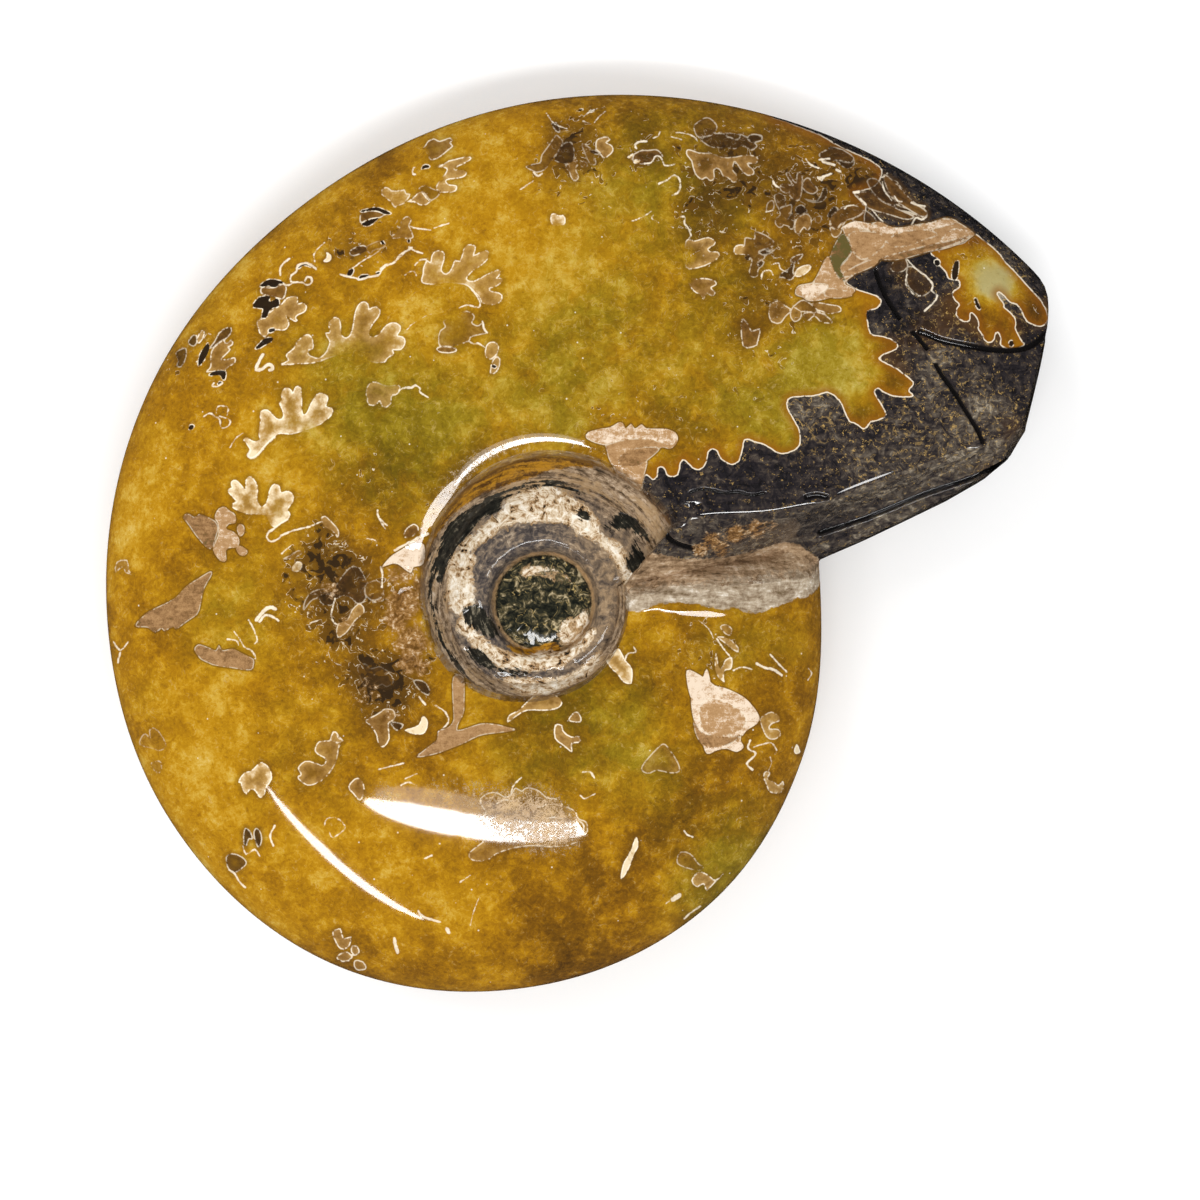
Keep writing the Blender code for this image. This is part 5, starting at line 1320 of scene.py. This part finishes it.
    # a painted shade in a thin ring round each flake
    colour = use.blend(abs(flake - 0.06).step(0.12, 0.02) * 0.6, colour, amberLook["brownAndPaintedShade"])
    colour = use.blend(flakeMask, colour, use.ramp(flakeLevel, flakeLook["stops"]))
    flakeRim = abs(flake + 0.03).step(0.07, 0.02) * (fine + medium).step(0.9, 1.1)
    colour = use.blend(flakeRim * 0.4, colour, amberLook["speck"])

    # the dish
    ragged = (medium - 0.5) * 0.9 + (fine - 0.5) * 0.9
    away = use.node("ShaderNodeVectorMath", {"operation": "SUBTRACT"}, {0: spot, 1: (*dishLook["centre"], 0.0)})
    away = use.node("ShaderNodeVectorMath", {"operation": "MULTIPLY"}, {0: away, 1: (1.0, 1.0, 0.0)})
    radius = use.node("ShaderNodeVectorMath", {"operation": "LENGTH"}, {0: away}, 1)
    around = use.node("ShaderNodeVectorMath", {"operation": "NORMALIZE"}, {0: away})
    hoop = use.node("ShaderNodeCombineXYZ", {}, {
        0: use.part(around, 0) * 2.6, 1: use.part(around, 1) * 2.6, 2: radius * 4.2 + ragged * 1.2})
    hoops = use.cloud(hoop, *grains["hoops"])
    dishLevel = mottle * 0.42 + hoops * 0.38 + fine * 0.20
    dishColour = use.ramp(dishLevel, dishLook["wall"])
    dishColour = use.blend((patchy + hoops * 0.3).step(0.62, 0.78) * 0.7, dishColour, dishLook["seam"])
    ringColour = use.ramp(mottle * 0.45 + hoops * 0.20 + fine * 0.35, dishLook["ring"])
    browner = use.part(around, 0).step(-0.1, 1.2) * (mottle * 0.7).least(0.5)
    ringColour = use.blend(browner, ringColour, dishLook["seam"])
    dishColour = use.blend((stage + ragged * 0.5).step(8.2, 7.7), dishColour, ringColour)
    discColour = use.ramp(mottle * 0.8 + fine * 0.2, dishLook["disc"])
    discLine = abs(patchy - 0.52).step(0.012, 0.0) * fine.step(0.46, 0.6)
    discColour = use.blend(discLine * 0.8, discColour, amberLook["vein"])
    inDisc = (radius + ragged * 0.2).step(dishLook["discRadius"] + 0.05, dishLook["discRadius"] - 0.05)
    dishColour = use.blend(inDisc, dishColour, discColour)
    seam = abs(radius - dishLook["discRadius"] + ragged * 0.25).step(dishLook["seamWidth"], 0.08)
    dishColour = use.blend((seam * (0.3 + mottle)).least(1.0), dishColour, dishLook["seam"])
    rustColour = use.blend((mottle * 0.5 + hoops * 0.5).step(0.3, 0.7), dishLook["rustDark"], dishLook["rust"])
    dishColour = use.blend((rust + ragged * 0.5).step(0.10, -0.10), dishColour, rustColour)
    chalkOff = chalk + ragged * 0.8 + (mottle - 0.5) * 0.7
    chalkMask = chalkOff.step(0.08, -0.08)
    dishColour = use.blend(abs(chalkOff).step(0.22, 0.05) * fine.step(0.42, 0.56) * 0.8, dishColour, dishLook["seam"])
    chalkColour = use.ramp(mottle * 0.6 + hoops * 0.2 + fine * 0.2, dishLook["chalk"])
    chalkColour = use.blend((patchy * 0.6 + lobed * 0.4).step(0.53, 0.62) * mottle.step(0.7, 0.3) * 0.6, chalkColour,
                            dishLook["seam"])
    dishColour = use.blend(chalkMask, dishColour, chalkColour)
    stainMask = (stain + ragged * 0.6 + (hoops - 0.5) * 0.6).step(0.06, -0.06)
    dishColour = use.blend(stainMask, dishColour, use.ramp(dishLevel, dishLook["stain"]))
    inDish = (stage + ragged * 0.25).step(10.08, 9.92)
    colour = use.blend(inDish, colour, dishColour)
    dishEdge = abs(stage - 9.98 + ragged * 0.2).step(0.20, 0.04) * (mottle + fine * 0.5).step(0.45, 0.9)
    colour = use.blend(dishEdge * 0.75 * (1.0 - along.step(0.0, 0.02)), colour, dishLook["rustDark"])

    # the crust below the mouth
    crustMask = (crust + ragged * 0.7).step(0.1, -0.1) * stage.step(9.9, 10.0)
    crustLevel = fibres * 0.38 + mottle * 0.30 + fine * 0.32 + (medium - 0.5) * 0.4 + 0.01
    slope, height = crustLook["split"]
    above = use.part(spot, 1) - use.part(spot, 0) * slope + height + ragged * 2.6
    crustColour = use.blend(above.step(0.7, -0.7), use.ramp(crustLevel, crustLook["pink"]),
                            use.ramp(crustLevel, crustLook["white"]))
    crustSeam = abs(above - 0.1).step(0.25, 0.04) * medium.step(0.44, 0.60)
    crustColour = use.blend(crustSeam * 0.7, crustColour, dishLook["rustDark"])
    colour = use.blend(crustMask, colour, crustColour)

    dull = crustMask.most(rub * 0.6).most(chalkMask * inDish * 0.8)
    coat = (1.0 - dull).most(0.0) * (1.0 - inDish * 0.5) * (1.0 - scuffAndSheen * 0.9) * satin.step(-0.6, -0.1)
    roughness = amberLook["roughness"] + dull * 0.05 - scuffAndSheen * (amberLook["roughness"] - amberLook["satin"])
    uneven = medium * 0.4 + fine * 0.4 + grain * 0.2
    rough = crust.step(0.2, -0.2).most(worn.step(0.35, 0.8) * 0.6).most(stage.step(10.05, 9.95)).most(scuffAndSheen * 0.5)
    height = uneven * (0.06 + rough * 2.2) - flake.step(0.05, -0.05) * 0.25
    normal = use.node("ShaderNodeBump", {}, {"Strength": 0.7, "Distance": amberLook["bump"], "Height": height})
    shader = use.node("ShaderNodeBsdfPrincipled", {}, {
        "Base Color": colour, "Roughness": roughness, "Normal": normal, "IOR": 1.5,
        "Specular IOR Level": amberLook["specular"], "Coat Weight": coat,
        "Coat Roughness": amberLook["coatRoughness"], "Coat IOR": 1.55})
    use.close(shader)
    return use.material


fossil.data.materials.append(amberFinish())
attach(fossil, "root")
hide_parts("ammonite")
print("finish made")

studio = {
    "imageWidth": 108.0, "sensor": 36.0, "floorSize": 3.0, "floorColour": (0.90, 0.90, 0.90), "floorGlow": 0.12,
    "worldStrength": 0.58,
    # a lamp's two ends and its width, its watts, and whether it shows in gloss
    "lamps": (("barStrip", (-0.192, -0.266, 0.763), (0.190, -0.302, 0.752), 0.062, 1.5, True),
              ("barGlow", (-0.165, -0.246, 0.770), (0.130, -0.278, 0.760), 0.100, 0.22, True),
              ("sideStrip", (0.135, -0.275, 0.748), (0.350, -0.180, 0.695), 0.150, 1.3, True),
              ("streakStrip", (-0.400, -0.295, 0.668), (-0.118, -0.590, 0.583), 0.032, 0.7, True),
              ("window", (-0.95, 0.25, 0.85), (-0.30, 0.90, 0.85), 0.9, 6.0, False)),
}
bpy.ops.mesh.primitive_plane_add(size=studio["floorSize"], location=(0.0, 0.0, 0.0))
floor = bpy.context.object
floor.name = "floor"
floorFinish = Finish("pale floor")
floorFinish.close(floorFinish.node("ShaderNodeBsdfPrincipled", {}, {
    "Base Color": studio["floorColour"], "Roughness": 0.9, "Specular IOR Level": 0.1,
    "Emission Color": (1.0, 1.0, 1.0), "Emission Strength": studio["floorGlow"]}))
floor.data.materials.append(floorFinish.material)
floor.visible_glossy = False

camX, camY, camHeight = surface["camera"]
camera = bpy.data.objects.new("camera", bpy.data.cameras.new("camera"))
bpy.context.scene.collection.objects.link(camera)
camera.location = (camX * 0.001, camY * 0.001, camHeight * 0.001)
camera.data.sensor_width = studio["sensor"]
camera.data.lens = studio["sensor"] * (camHeight - surface["markHeight"]) / studio["imageWidth"]
camera.data.clip_start = 0.01
bpy.context.scene.camera = camera

for name, start, end, width, power, inGloss in studio["lamps"]:
    lamp = bpy.data.objects.new(name, bpy.data.lights.new(name, "AREA"))
    start, end = Vector(start), Vector(end)
    lamp.data.shape, lamp.data.size, lamp.data.size_y = "ELLIPSE", (end - start).length, width
    lamp.data.energy = power
    lamp.location = (start + end) / 2.0
    length = (end - start).normalized()
    facing = lamp.location - lamp.location.dot(length) * length  # back from the fossil, square to its length
    facing = facing.normalized()
    lamp.rotation_euler = Matrix((length, facing.cross(length), facing)).transposed().to_euler()
    lamp.visible_glossy = inGloss
    bpy.context.scene.collection.objects.link(lamp)
world = bpy.data.worlds.new("world")
bpy.context.scene.world = world
world.use_nodes = True
world.node_tree.nodes["Background"].inputs["Color"].default_value = (1.0, 1.0, 1.0, 1.0)
world.node_tree.nodes["Background"].inputs["Strength"].default_value = studio["worldStrength"]
world.cycles_visibility.glossy = False  # the room round the table is dark in the gloss
bpy.context.scene.view_settings.view_transform = "Standard"
print("studio set")
